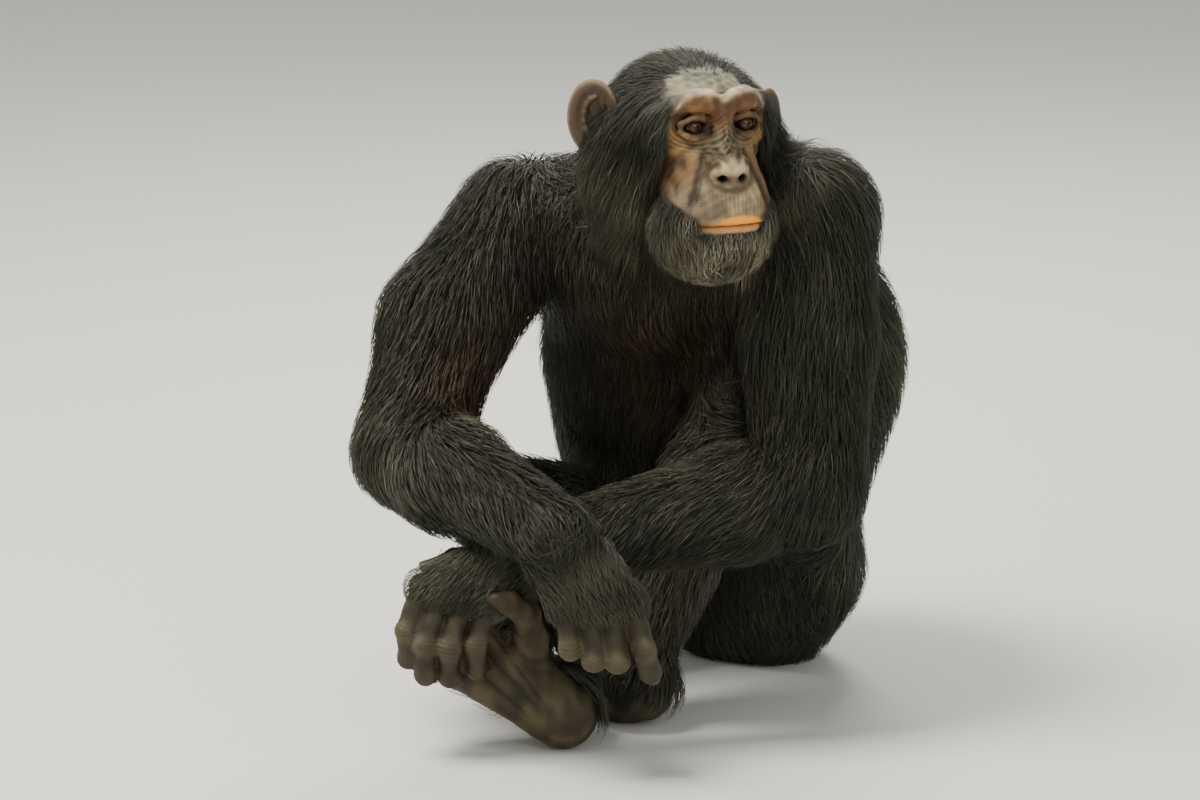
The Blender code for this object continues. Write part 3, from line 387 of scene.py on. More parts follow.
def arm_shapes(side, coat):
    fur = FUR_ARM * coat
    low = FUR_FOREARM * coat
    hand = FUR_HAND * coat
    shoulder = SHOULDER_L if side > 0 else SHOULDER_R
    elbow = ELBOW_L if side > 0 else ELBOW_R
    wrist = WRIST_L if side > 0 else WRIST_R
    out = []
    mid = arm_middle(side)
    out.append((rod(shoulder, mid, 0.056 + fur, 0.054 + fur), 0.02))
    out.append((rod(mid, elbow, 0.054 + fur, 0.042 + fur), 0.02))
    belly = elbow.lerp(wrist, 0.30)
    out.append((rod(elbow, belly, 0.043 + low, 0.045 + low), 0.02))
    out.append((rod(belly, wrist, 0.045 + low, 0.025 + hand), 0.02))
    return out


def leg_shapes(side, coat):
    thigh = FUR_THIGH * coat
    shin = FUR_SHIN * coat
    hip = HIP_L if side > 0 else HIP_R
    knee = KNEE_L if side > 0 else KNEE_R
    ankle = ANKLE_L if side > 0 else ANKLE_R
    out = []
    out.append((rod(hip, knee, 0.062 + thigh, 0.046 + thigh), 0.03))
    calf = knee.lerp(ankle, 0.35)
    out.append((rod(knee, calf, 0.042 + shin, 0.042 + shin), 0.02))
    out.append((rod(calf, ankle, 0.041 + shin, 0.029 + shin * 0.6), 0.02))
    return out


# Hands and feet. Every digit is a row of points with radii; the palm and the sole are masses.


class Grip:
    """One hand: its wrist, the middle of its knuckle row and the ways its fingers run."""

    def __init__(self, side, wrist, row, across, first, second, third, point):
        self.side = side
        self.wrist = wrist
        self.row = row
        self.across = across.normalized()
        self.ways = (first.normalized(), second.normalized(), third.normalized())
        self.point = [w.normalized() for w in point]
        self.along = (row - wrist).normalized()
        self.back = self.across.cross(self.along).normalized() * side

    def knuckle(self, n):
        spread = (0.0320, 0.0108, -0.0108, -0.0300)[n]
        ahead = (0.000, 0.004, 0.001, -0.006)[n]
        return self.row + self.across * spread + self.along * ahead

    def finger(self, n):
        """Centres and radii of finger n, from inside the palm to its tip; 0 is the index finger."""
        scale = (0.95, 1.04, 1.0, 0.86)[n]
        thick = (1.0, 1.03, 1.0, 0.88)[n]
        ways = self.point if n == 0 else self.ways
        spots = [self.knuckle(n) - self.along * 0.012, self.knuckle(n)]
        for way, length in zip(ways, FINGER_BONES):
            spots.append(spots[-1] + way * length * scale)
        radii = [r * thick for r in (0.0090, 0.0102, 0.0101, 0.0091, 0.0065)]
        return spots, radii


FINGER_BONES = (0.048, 0.034, 0.020)
HAND_R = Grip(-1, WRIST_R, seen(-0.170, -0.458, 0.172), seen(1.0, 0.12, 0.12),
              seen(0.13, -0.36, -0.92), seen(0.02, 0.95, -0.30), seen(0.0, 0.72, 0.70),
              (seen(0.28, -0.28, -0.92), seen(0.22, 0.45, -0.87), seen(0.10, 0.90, -0.42)))
HAND_L = Grip(1, WRIST_L, seen(-0.312, -0.392, 0.166), seen(-0.90, 0.10, 0.30),
              seen(-0.30, -0.25, -0.92), seen(0.02, 0.30, -0.95), seen(0.20, 0.93, -0.30),
              (seen(-0.34, -0.20, -0.92), seen(0.02, 0.30, -0.95), seen(0.20, 0.93, -0.30)))
THUMB_R = ([seen(-0.200, -0.440, 0.236), seen(-0.180, -0.434, 0.226), seen(-0.163, -0.436, 0.207),
            seen(-0.155, -0.440, 0.180)], [0.010, 0.0115, 0.0100, 0.0075])
THUMB_L = ([seen(-0.262, -0.366, 0.196), seen(-0.284, -0.352, 0.196), seen(-0.312, -0.343, 0.192),
            seen(-0.338, -0.340, 0.182)], [0.010, 0.0110, 0.0095, 0.0072])


def palm_shapes(grip, coat):
    fur = FUR_HAND * coat
    out = []
    for n in range(4):
        start = grip.wrist + grip.across * (0.012 - 0.008 * n)
        out.append((rod(start, grip.knuckle(n), 0.0165 + fur, 0.0135 + fur * 0.7), 0.010))
    ball = grip.wrist.lerp(grip.row, 0.40) + grip.across * 0.018 - grip.back * 0.008
    out.append((egg(ball, (0.020 + fur, 0.020 + fur, 0.020 + fur)), 0.012))
    return out


class Sole:
    """One foot: heel centre, the way its toes point and the way its sole faces."""

    def __init__(self, side, heel, toes, down):
        self.side = side
        self.heel = heel
        self.toes = toes.normalized()
        self.down = (down - self.toes * down.dot(self.toes)).normalized()
        self.inner = self.toes.cross(self.down) if side < 0 else self.down.cross(self.toes)

    def at(self, toes, inner, down):
        return self.heel + self.toes * toes + self.inner * inner + self.down * down

    def toe(self, n):
        """Centres and radii of toe n; 1 is next to the great toe, 4 is the outermost."""
        inner = 0.031 - 0.0165 * n
        ahead = (0.0, 0.122, 0.124, 0.119, 0.110)[n]
        length = (0.0, 0.046, 0.048, 0.044, 0.038)[n]
        spots = [self.at(ahead - 0.012, inner, 0.001), self.at(ahead + 0.004, inner, 0.000),
                 self.at(ahead + 0.55 * length, inner, -0.002), self.at(ahead + length, inner, 0.006)]
        return spots, [0.0074, 0.0080, 0.0078, 0.0062]


FOOT_R = Sole(-1, seen(-0.205, -0.355, 0.034), seen(-0.80, 0.08, 0.60), seen(-0.10, -0.99, -0.05))
FOOT_L = Sole(1, seen(-0.128, -0.262, 0.029), seen(-0.87, 0.49, -0.02), seen(0.05, -0.22, -0.97))
GREAT_R = ([seen(-0.232, -0.352, 0.086), seen(-0.236, -0.366, 0.113), seen(-0.240, -0.392, 0.148),
            seen(-0.256, -0.412, 0.167), seen(-0.270, -0.418, 0.171)], [0.015, 0.0165, 0.0130, 0.0115, 0.0085])
GREAT_L = ([FOOT_L.at(0.068, 0.028, 0.000), FOOT_L.at(0.080, 0.040, 0.000), FOOT_L.at(0.104, 0.060, 0.002),
            FOOT_L.at(0.122, 0.070, 0.008)], [0.014, 0.0150, 0.0125, 0.0090])


def foot_shapes(foot, coat):
    fur = FUR_FOOT * coat
    axes = (foot.toes, foot.inner, foot.down)
    out = []
    out.append((egg(foot.at(0.000, 0, -0.004), (0.034, 0.033, 0.030), axes), 0.012))
    out.append((rod(foot.at(0.005, 0, -0.016), foot.at(0.070, 0.004, -0.010), 0.030 + fur, 0.028 + fur,
                    0.9, foot.inner), 0.015))
    out.append((rod(foot.at(0.020, 0.004, 0.0), foot.at(0.112, 0.022, 0.000), 0.026, 0.0150), 0.012))
    out.append((rod(foot.at(0.020, -0.008, 0.0), foot.at(0.106, -0.030, 0.002), 0.026, 0.0145), 0.012))
    out.append((rod(foot.at(0.030, 0.008, 0.0), foot.at(0.072, 0.026, 0.000), 0.022, 0.0175), 0.012))
    return out


# The skin. Each island is a block of distance values meshed at its own step.


def surface(clay):
    grid = openvdb.FloatGrid(0.05)
    grid.copyFromArray(clay.value)
    points, quads = grid.convertToQuads(0.0)
    return points * clay.step + clay.low, quads


def keep_behind(clay, point, way):
    """Take away all of a block that lies ahead of a plane."""
    spots = clay.points(np.zeros(3, int), clay.shape)
    plane = ((spots - np.array(point)) @ np.array(way)).reshape(clay.shape)
    clay.value = np.maximum(clay.value, plane).astype(np.float32)


def chain(spots, radii):
    """A digit as a list of rods."""
    out = []
    for n in range(len(spots) - 1):
        out.append((rod(spots[n], spots[n + 1], radii[n], radii[n + 1]), 0.004))
    return out


def join_groups(clay, groups, k):
    """Blend each group within itself, then join the groups with only a slight softness."""
    for group in groups:
        low = np.min([shape[1] for shape, _ in group], axis=0)
        high = np.max([shape[2] for shape, _ in group], axis=0)
        i, j = clay.window(low, high, 0.02)
        if np.any(j <= i):
            continue
        cut = (slice(i[0], j[0]), slice(i[1], j[1]), slice(i[2], j[2]))
        p = clay.points(i, j)
        value = np.full(len(p), 0.05)
        for (field, _, _), soft in group:
            value = soft_min(value, field(p), soft)
        clay.value[cut] = soft_min(clay.value[cut], value.reshape(clay.value[cut].shape), k)


def around(spots, pad):
    spots = np.array([tuple(s) for s in spots])
    return spots.min(0) - pad, spots.max(0) + pad


def ear_frame(side):
    """An ear's middle, the way its hollow faces and the way it stands out."""
    out = (LEFT * side * 0.82 - FORWARD * 0.57).normalized()
    face = (FORWARD * 0.82 + LEFT * side * 0.57).normalized()
    middle = on_head(0.002, side * 0.083, -0.008) + out * 0.016
    if side > 0:
        middle = middle + on_head(0.0, -0.005, -0.022) - HEAD_AT
    return middle, face, out


def ear_pieces(side):
    """The ear: its masses and its hollows."""
    centre, face, out = ear_frame(side)
    axes = (face, out, UP)
    add = [(egg(centre, (0.0062, 0.0265, 0.0385), axes), 0.004)]
    cut = [(egg(centre + face * 0.0070 - out * 0.0035, (0.0078, 0.0215, 0.0330), axes), 0.002)]
    ridge = []
    for n in range(9):
        t = -1.9 + 0.42 * n
        ridge.append(centre + face * 0.0030 + out * (0.0125 * math.cos(t) - 0.004) + UP * (0.0205 * math.sin(t)))
    fold = []
    for one, two in zip(ridge, ridge[1:]):
        fold.append((rod(one, two, 0.0022, 0.0022), 0.003))
    fold.append((egg(centre + face * 0.004 - out * 0.017 - UP * 0.004, (0.006, 0.006, 0.008), axes), 0.004))
    hole = [(rod(centre - out * 0.014, centre - out * 0.020 - face * 0.02, 0.0055, 0.0045), 0.003)]
    return add, cut, fold, hole


def ear_mask(p):
    """1 on an ear, 0 off it."""
    out = np.zeros(len(p))
    for side in (-1, 1):
        centre, face, way = ear_frame(side)
        q = p - np.array(centre)
        r = (q @ np.array(face) / 0.015) ** 2 + (q @ np.array(way) / 0.031) ** 2 + (q @ np.array(UP) / 0.044) ** 2
        out = np.maximum(out, fade(r, 1.2, 0.9))
    return out


def ear_rim(p):
    """0 on the inner third of an ear, where the hair of the cheek grows over it."""
    out = np.ones(len(p))
    for side in (-1, 1):
        centre, _, way = ear_frame(side)
        q = p - np.array(centre)
        near = np.linalg.norm(q, axis=1) < 0.06
        out = np.where(near, fade(q @ np.array(way), -0.013, 0.001), out)
    return out


def head_island():
    low = Vector(HEAD_AT) - Vector((0.155, 0.155, 0.175))
    high = Vector(HEAD_AT) + Vector((0.155, 0.155, 0.085))
    clay = Clay(low, high, 0.0013)
    for shape, k in head_shapes(0.4, 0.3):
        clay.add(shape, k)
    for side in (-1, 1):
        add, cut, fold, hole = ear_pieces(side)
        for shape, k in add:
            clay.add(shape, k)
        for shape, k in cut:
            clay.cut(shape, k)
        for shape, k in fold:
            clay.add(shape, k)
        for shape, k in hole:
            clay.cut(shape, k)
    for shape, k in face_cuts():
        clay.cut(shape, k)
    # Round open lids.
    for side in (-1, 1):
        middle = on_head(EYE_DEPTH + 0.008, side * EYE_SPACE, EYE_UP + 0.0012)
        clay.cut(egg(middle, (0.012, 0.0112, 0.0074), (FORWARD, LEFT, UP)), 0.0015)
    return surface(clay)


def body_island(guide):
    """The trunk and limbs without the head; make_skin cuts it at the wrists and ankles."""
    clay = Clay(guide.low, guide.low + (np.array(guide.shape) - 1) * guide.step, guide.step)
    clay.value = guide.value - UNDERCOAT
    return clay


def limb_clay(shapes, low, high, step):
    clay = Clay(low, high, step)
    for shape, k in shapes:
        clay.add(shape, k)
    return clay


def hand_island(grip, thumb):
    spots = [grip.wrist] + list(thumb[0])
    for n in range(4):
        spots += grip.finger(n)[0]
    low, high = around(spots, 0.035)
    side = grip.side
    clay = limb_clay(arm_shapes(side, 0.0) + palm_shapes(grip, 0.0), low, high, 0.0018)
    digits = []
    for spots, radii in [grip.finger(n) for n in range(4)] + [thumb]:
        digits.append(chain(spots, [r * FULL for r in radii]))
    join_groups(clay, digits, 0.004)
    elbow = ELBOW_L if side > 0 else ELBOW_R
    way = ((grip.wrist - elbow).normalized() + grip.along).normalized()
    keep_behind(clay, grip.wrist - way * 0.004, way * -1.0)
    return surface(clay), (grip.wrist, way)


def foot_island(foot, great, ankle, knee):
    spots = [ankle, foot.heel] + list(great[0])
    for n in range(1, 5):
        spots += foot.toe(n)[0]
    low, high = around(spots, 0.040)
    side = foot.side
    clay = limb_clay(leg_shapes(side, 0.0) + foot_shapes(foot, 0.0), low, high, 0.0018)
    digits = [chain(*great)] + [chain(*foot.toe(n)) for n in range(1, 5)]
    join_groups(clay, digits, 0.004)
    way = ((ankle - knee).normalized() + foot.toes * 0.35).normalized()
    keep_behind(clay, ankle - way * 0.004, way * -1.0)
    keep_behind(clay, (0, 0, 0.0006), (0, 0, -1))
    return surface(clay), (ankle, way)


def make_guide():
    """A coarse block of the whole bare body, used for the body's skin and to lay the coat along."""
    low = (-0.42, -0.62, -0.03)
    high = (0.32, 0.22, 0.75)
    trunk = limb_clay(trunk_shapes(0.0), low, high, 0.0045)
    for side, hand, foot in ((1, HAND_L, FOOT_L), (-1, HAND_R, FOOT_R)):
        arm = limb_clay(arm_shapes(side, 0.0) + palm_shapes(hand, 0.0), low, high, 0.0045)
        leg = limb_clay(leg_shapes(side, 0.0) + foot_shapes(foot, 0.0), low, high, 0.0045)
        trunk.value = soft_min(soft_min(trunk.value, arm.value, 0.004), leg.value, 0.004).astype(np.float32)
    return trunk


def mesh_piece(name, points, faces, smooth=True):
    mesh = bpy.data.meshes.new(name)
    mesh.vertices.add(len(points))
    mesh.vertices.foreach_set("co", np.asarray(points, np.float32).ravel())
    faces = np.asarray(faces, np.int32)
    corners = faces.shape[1]
    mesh.loops.add(faces.size)
    mesh.loops.foreach_set("vertex_index", faces.ravel())
    mesh.polygons.add(len(faces))
    mesh.polygons.foreach_set("loop_start", np.arange(0, faces.size, corners, dtype=np.int32))
    mesh.polygons.foreach_set("loop_total", np.full(len(faces), corners, np.int32))
    mesh.polygons.foreach_set("use_smooth", np.full(len(faces), smooth))
    mesh.update(calc_edges=True)
    obj = bpy.data.objects.new(name, mesh)
    bpy.context.scene.collection.objects.link(obj)
    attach(obj, "root")
    return obj


def add_tint(obj, colours):
    """A colour for each point of a mesh, worked out by the marking functions."""
    layer = obj.data.color_attributes.new("tint", "FLOAT_COLOR", "POINT")
    full = np.ones((len(colours), 4), np.float32)
    full[:, :3] = colours
    layer.data.foreach_set("color", full.ravel())


# Places on the head in its own axes, and smooth masks.


def head_place(p):
    q = p - np.array(HEAD_AT)
    return q @ np.array(FORWARD), q @ np.array(LEFT), q @ np.array(UP)


def fade(x, start, end):
    """0 at start, 1 at end, smooth between."""
    t = np.clip((x - start) / (end - start), 0.0, 1.0)
    return t * t * (3 - 2 * t)


def blob(f, l, u, centre, size):
    r2 = ((f - centre[0]) / size[0]) ** 2 + ((l - centre[1]) / size[1]) ** 2 + ((u - centre[2]) / size[2]) ** 2
    return np.exp(-r2)


def mixed(base, colour, share):
    return base + (np.array(colour) - base) * share[:, None]


def ripple(p, scale, seed):
    """Smooth noise from a few sine waves, about -1 to 1."""
    rng = np.random.default_rng(seed)
    out = np.zeros(len(p))
    for n in range(6):
        way = rng.normal(size=3)
        way = way / np.linalg.norm(way) * (0.6 + 0.9 * rng.random())
        out += np.sin(p @ way / scale + rng.random() * 6.28)
    return out / 2.6


def bare_face(p):
    """1 on the hairless face, 0 where the coat is full."""
    f, l, u = head_place(p)
    a = np.abs(l)
    width = 0.049 + 0.005 * fade(u, -0.02, -0.06) - 0.017 * fade(u, -0.066, -0.090)
    width = width - 0.027 * fade(u, 0.022, 0.056)
    inside = fade(a, width + 0.004, width - 0.002 - 0.006 * fade(u, 0.026, 0.040))
    top = fade(u, 0.064, 0.050)
    low = fade(u + 0.10 * a, -0.1025, -0.0980)
    front = fade(f - 0.026 * fade(u, -0.002, 0.016) * fade(a, 0.034, 0.046), 0.022, 0.038)
    return inside * top * low * front


BLACK = (0.0185, 0.0190, 0.0110)
GREYED = (0.056, 0.058, 0.038)
BROWNED = (0.038, 0.026, 0.013)
BEARD = (0.24, 0.22, 0.145)


def face_colour(p):
    f, l, u = head_place(p)
    a = np.abs(l)
    n = len(p)
    out = np.tile(np.array((0.088, 0.053, 0.024)), (n, 1))
    # The outer sides of the face are darker: partly their own darker skin, partly painted shade.
    out = mixed(out, (0.045, 0.027, 0.013), fade(a, 0.036, 0.052))
    # Forehead, brow faces, eye rings, nose bridge, muzzle, lips.
    over = fade(u - brow_height(a), -0.001, 0.006) * (1 - 0.75 * fade(a, 0.034, 0.042) * fade(f, 0.056, 0.064))
    behind = fade(f, 0.068, 0.060) * fade(u, 0.016, 0.024)
    out = mixed(out, (0.160, 0.156, 0.106), np.maximum(over, behind))
    out = mixed(out, (0.135, 0.063, 0.023), blob(f, a, u, (0.095, 0.026, 0.020), (0.06, 0.019, 0.012))
                * fade(u - brow_height(a), 0.002, -0.003))
    out = mixed(out, (0.105, 0.040, 0.015), blob(f, a, u, (0.095, 0.008, 0.008), (0.06, 0.010, 0.013)))
    out = mixed(out, (0.185, 0.100, 0.036), blob(f, a, u, (0.09, 0.040, -0.014), (0.06, 0.013, 0.016)) * 0.9)
    out = mixed(out, (0.110, 0.078, 0.034), blob(f, a, u, (0.09, 0.024, -0.022), (0.06, 0.013, 0.013)) * 0.8)
    out = mixed(out, (0.088, 0.070, 0.041), blob(f, a, u, (0.10, 0.006, -0.012), (0.06, 0.011, 0.013)))
    out = mixed(out, (0.075, 0.036, 0.015), blob(f, a, u, (0.08, 0.040, -0.048), (0.06, 0.012, 0.018)) * 0.7)
    muzzle = fade(f, 0.080, 0.104) * fade(u + 0.9 * np.maximum(a - 0.012, 0), -0.024, -0.038)
    out = mixed(out, (0.255, 0.190, 0.105), muzzle * fade(a, 0.036, 0.024))
    # Painted shade on the lower muzzle below the nose, on the head's right side.
    out = mixed(out, (0.095, 0.072, 0.044), muzzle * fade(u, -0.048, -0.062) * fade(l, 0.006, -0.022) * 0.85)
    nose = fade(nose_place(l, u), 1.10, 0.50) * fade(f, 0.085, 0.095)
    out = mixed(out, (0.135, 0.098, 0.058), nose)
    # A painted highlight across the top of the nose, where light from above falls.
    out = mixed(out, (0.330, 0.262, 0.160), nose * np.exp(-((u + 0.0355 + 0.10 * a) / 0.0065) ** 2))
    # Painted shade round the nostrils and, darkest, inside them.
    out = mixed(out, (0.060, 0.038, 0.022), blob(f, a, u, (0.119, 0.0098, -0.0470), (0.03, 0.0100, 0.0065)) * 0.8)
    hole = blob(f, a, u, (0.119, 0.0095, -0.0462), (0.02, 0.0070, 0.0045))
    out = mixed(out, (0.010, 0.006, 0.004), np.clip(hole * 1.3, 0, 1))
    rim = np.exp(-((u - brow_height(a)) / 0.0028) ** 2) * fade(f, 0.050, 0.062) * fade(a, 0.052, 0.042)
    out = mixed(out, (0.34, 0.28, 0.19), rim * 0.85)
    side = np.exp(-((a - 0.0535) / 0.0030) ** 2) * fade(u, -0.020, 0.000) * fade(u, 0.020, 0.010)
    out = mixed(out, (0.30, 0.20, 0.11), side * 0.6)
    lip = lip_mask(f, l, u)
    pink = mixed(np.tile(np.array((0.30, 0.135, 0.050)), (n, 1)), (0.80, 0.31, 0.030), fade(l, -0.036, 0.000))
    pink = mixed(pink, (0.38, 0.20, 0.095), fade(u - mouth_height(l), 0.0005, -0.0025) * 0.75)
    out = out + (pink - out) * lip[:, None]
    # Painted shade along the crease between the lips.
    line = np.exp(-((u - mouth_height(l)) / 0.0013) ** 2) * fade(f, 0.085, 0.100) * fade(a, 0.041, 0.035)
    out = mixed(out, (0.030, 0.012, 0.006), line * 0.95)
    for side in (-1, 1):
        x = (l - side * EYE_SPACE) / 0.0150
        y = (u - EYE_UP - 0.0005) / 0.0085
        ring = np.exp(-((np.sqrt(x * x + y * y) - 0.92) / 0.22) ** 2) * fade(f, 0.070, 0.078)
        out = mixed(out, (0.018, 0.010, 0.006), np.clip(ring * 0.60, 0, 1))
    out = mixed(out, (0.060, 0.052, 0.036), fade(u, -0.100, -0.104))
    return out


def brow_height(a):
    """Height of the pale edge over each eye."""
    return 0.0350 - 0.0075 * np.exp(-(a / 0.0075) ** 2) - 0.0210 * np.clip((a - 0.028) / 0.020, 0, 1.4) ** 2


def mouth_height(l):
    t = l / MOUTH_HALF
    return MOUTH_UP - 0.003 * t * t


def lip_mask(f, l, u):
    t = np.clip(np.abs(l) / MOUTH_HALF, 0, 1)
    up = (0.0020 + 0.0075 * fade(l, -0.036, 0.002)) * (1 - t ** 4) + 0.0012
    down = 0.0058 * (1 - t ** 3) + 0.001
    h = u - mouth_height(l)
    top = fade(h, up + 0.0016, up - 0.0018)
    low = fade(h, -down - 0.0010, -down + 0.0012)
    return top * low * fade(f, 0.085, 0.098) * fade(np.abs(l), MOUTH_HALF + 0.003, MOUTH_HALF - 0.001)


# Fingers of the skin against those of the solids.
FULL = 1.13
# How far the mass of the undercoat stands over the body's skin.
UNDERCOAT = 0.0045
# Islands of the skin, in the order they are made.
LEFT_HAND, RIGHT_HAND, LEFT_FOOT, RIGHT_FOOT, BODY, HEAD = range(6)


def ear_colour(p):
    """Dark brown, paler along the rim."""
    out = np.tile(np.array((0.062, 0.040, 0.023)), (len(p), 1))
    for side in (-1, 1):
        centre, face, way = ear_frame(side)
        q = p - np.array(centre)
        r = np.hypot(q @ np.array(way) / 0.0265, q @ np.array(UP) / 0.0385)
        near = fade(np.linalg.norm(q, axis=1), 0.070, 0.060)
        out = mixed(out, (0.028, 0.023, 0.015), fade(q @ np.array(face), 0.000, -0.004) * near)
        out = mixed(out, (0.170, 0.128, 0.082), fade(r, 0.84, 0.97) * fade(r, 1.3, 1.1)
                    * fade(q @ np.array(face), -0.003, 0.001))
    return out


def skin_colour(p, island):
    """Colour of the bare skin all over: face, ears, digits, soles and the dark skin under the coat."""
    out = np.tile(np.array((0.020, 0.018, 0.015)), (len(p), 1))
    head = island == HEAD
    q = p[head]
    face = bare_face(q)[:, None]
    ear = ear_mask(q)[:, None]
    part = out[head]
    part = part + (ear_colour(q) - part) * ear
    part = part + (face_colour(q) - part) * face
    out[head] = part
    for code, grip, thumb in ((LEFT_HAND, HAND_L, THUMB_L), (RIGHT_HAND, HAND_R, THUMB_R)):
        own = island == code
        q = p[own]
        part = out[own]
        part[:] = (0.028, 0.022, 0.012)
        tip = np.full(len(q), 1.0)
        for n in range(4):
            tip = np.minimum(tip, np.linalg.norm(q - np.array(grip.finger(n)[0][-1]), axis=1))
        tip = np.minimum(tip, np.linalg.norm(q - np.array(thumb[0][-1]), axis=1))
        part = mixed(part, (0.040, 0.031, 0.016), fade(tip, 0.040, 0.012) * 0.8)
        joint = np.full(len(q), 1.0)
        for n in range(4):
            joint = np.minimum(joint, np.linalg.norm(q - np.array(grip.finger(n)[0][2]), axis=1))
        part = mixed(part, (0.062, 0.049, 0.026), fade(joint, 0.019, 0.010) * 0.7)
        out[own] = part
    for code, foot, great in ((LEFT_FOOT, FOOT_L, GREAT_L), (RIGHT_FOOT, FOOT_R, GREAT_R)):
        own = island == code
        q = p[own]
        r = q - np.array(foot.heel)
        part = out[own]
        part = mixed(part, (0.045, 0.035, 0.024), fade(r @ np.array(foot.toes), 0.080, 0.110))
        under = fade(r @ np.array(foot.down), -0.014, 0.010)
        part = mixed(part, (0.045, 0.036, 0.017), under)
        near = np.full(len(q), 1.0)
        for spot in great[0][1:]:
            near = np.minimum(near, np.linalg.norm(q - np.array(spot), axis=1))
        part = mixed(part, (0.036, 0.026, 0.012), fade(near, 0.030, 0.020))
        out[own] = part
    return out


def digit_relief(p, island):
    """Creases across the knuckles and joints of fingers and toes and along the soles, along the normal."""
    out = np.zeros(len(p))
    for code, digits, back in hand_digits():
        own = island == code
        q = p[own]
        part = np.zeros(len(q))
        for spots, radii in digits:
            for n in range(1, len(spots) - 1):
                way = np.array((spots[n + 1] - spots[n - 1]).normalized())
                r = q - np.array(spots[n])
                s = r @ way
                side = np.linalg.norm(r - s[:, None] * way, axis=1)
                near = np.exp(-(s / 0.0085) ** 2) * fade(side, radii[n] * 1.9, radii[n] * 1.4)
                part += near * (0.0005 * np.cos(s / 0.0038 * 2 * math.pi + 3.0 * ripple(q, 0.008, n)) + 0.0003)
        out[own] = part + 0.00045 * ripple(q, 0.0030, 3)
    for code, foot in ((LEFT_FOOT, FOOT_L), (RIGHT_FOOT, FOOT_R)):
        own = island == code
        q = p[own]
        r = q - np.array(foot.heel)
        across = r @ np.array(foot.inner)
        along = r @ np.array(foot.toes)
        under = fade(r @ np.array(foot.down), 0.0, 0.014) * fade(along, 0.0, 0.02) * fade(along, 0.125, 0.10)
        for start, slant in ((0.004, 0.16), (-0.012, 0.05), (0.017, 0.30)):
            way = across - start - slant * (along - 0.06) + 0.004 * ripple(q, 0.040, 13)
            out[own] -= 0.0013 * np.exp(-(way / 0.0020) ** 2) * under * fade(along, 0.015, 0.045)
        out[own] += 0.0005 * ripple(q, 0.0032, 15) + 0.0006 * ripple(q, 0.0100, 17)
    return out


def hand_digits():
    """Each hand's and foot's code with its digits and the way its back faces."""
    out = []
    for code, grip, thumb in ((LEFT_HAND, HAND_L, THUMB_L), (RIGHT_HAND, HAND_R, THUMB_R)):
        out.append((code, [grip.finger(n) for n in range(4)] + [thumb], grip.back))
    for code, foot, great in ((LEFT_FOOT, FOOT_L, GREAT_L), (RIGHT_FOOT, FOOT_R, GREAT_R)):
        out.append((code, [foot.toe(n) for n in range(1, 5)] + [great], foot.down * -1.0))
    return out


def nose_place(l, u):
    """Distance from the middle of the nose, 1 at the edge of its wings."""
    drop = np.clip((-0.034 - u) / 0.020, -1, 1)
    return np.hypot(l / (0.0205 + 0.0060 * drop), (u + 0.0405) / 0.0160)


def face_relief(p):
    """Folds and wrinkles of the face, in metres along the normal."""
    f, l, u = head_place(p)
    out = np.zeros(len(p))
    face = bare_face(p)
    wave = ripple(p, 0.010, 31)
    for side in (-1, 1):
        x = l * side - EYE_SPACE
        y = u - EYE_UP
        r = np.sqrt((x / 1.20) ** 2 + (y / 0.90) ** 2) + 0.0008 * wave
        ring = fade(r, 0.0125, 0.0155) * fade(r, 0.034, 0.022)
        low = fade(y, 0.004, -0.005) + 0.30 * fade(y, -0.002, 0.008)
        out += 0.00055 * np.sin((r - 0.012) / 0.0043 * 2 * math.pi + 0.9 * wave) * ring * low
        # Rays that run out and down from under the eye over the cheek.
        ray = fade(r, 0.022, 0.030) * fade(r, 0.052, 0.038) * fade(y, -0.006, -0.016)
        out += 0.00055 * np.sin(np.arctan2(y, x) * 17 + 1.6 * wave) * ray
        # The crease that runs from beside the nose out round the muzzle.
        t = np.clip((-0.024 - u) / 0.055, 0, 1)
        path = 0.0205 + 0.022 * t ** 0.9
        crease = np.exp(-((l * side - path) / 0.0028) ** 2) * fade(u, -0.016, -0.028) * fade(u, -0.088, -0.068)
        out -= 0.0024 * crease
        out += 0.0016 * np.exp(-((l * side - path - 0.0062) / 0.0048) ** 2) * fade(u, -0.016, -0.028) \
            * fade(u, -0.086, -0.064)
    # The broad low dome of the nose, with a groove round it.
    dome = nose_place(l, u)
    out += (0.0014 * np.clip(1 - dome ** 2, 0, 1) - 0.0014 * np.exp(-((dome - 1.05) / 0.15) ** 2)) * fade(f, 0.085, 0.095) \
        * (1 - 0.75 * fade(u, -0.034, -0.026))
    # Slanting folds at the root of the nose, fine upright lines over the lip, creases across the forehead.
    root = np.exp(-(l / 0.017) ** 2) * fade(u, -0.028, -0.020) * fade(u, 0.016, 0.006)
    out += 0.00065 * np.sin((u + 0.75 * np.abs(l)) / 0.0048 * 2 * math.pi + wave) * root
    brow = fade(u, 0.036, 0.041) * fade(u, 0.062, 0.052)
    out += 0.00028 * np.sin(u / 0.0052 * 2 * math.pi + 2.2 * wave) * brow
    lip = fade(u, -0.056, -0.064) * fade(u, -0.086, -0.080)
    out += 0.00016 * np.sin(l / 0.0041 * 2 * math.pi + 5 * ripple(p, 0.014, 5)) * lip * (0.5 + ripple(p, 0.009, 6))
    out += 0.00034 * ripple(p, 0.0017, 7) + 0.00045 * ripple(p, 0.0042, 9)
    # Full lips.
    t = np.clip(np.abs(l) / MOUTH_HALF, 0, 1)
    h = u - mouth_height(l)
    front = fade(f, 0.085, 0.098)
    out += 0.0026 * np.exp(-((h - 0.0050) / 0.0036) ** 2) * (1 - t * t) * front
    out += 0.0020 * np.exp(-((h + 0.0042) / 0.0030) ** 2) * (1 - t * t) * front
    return out * face


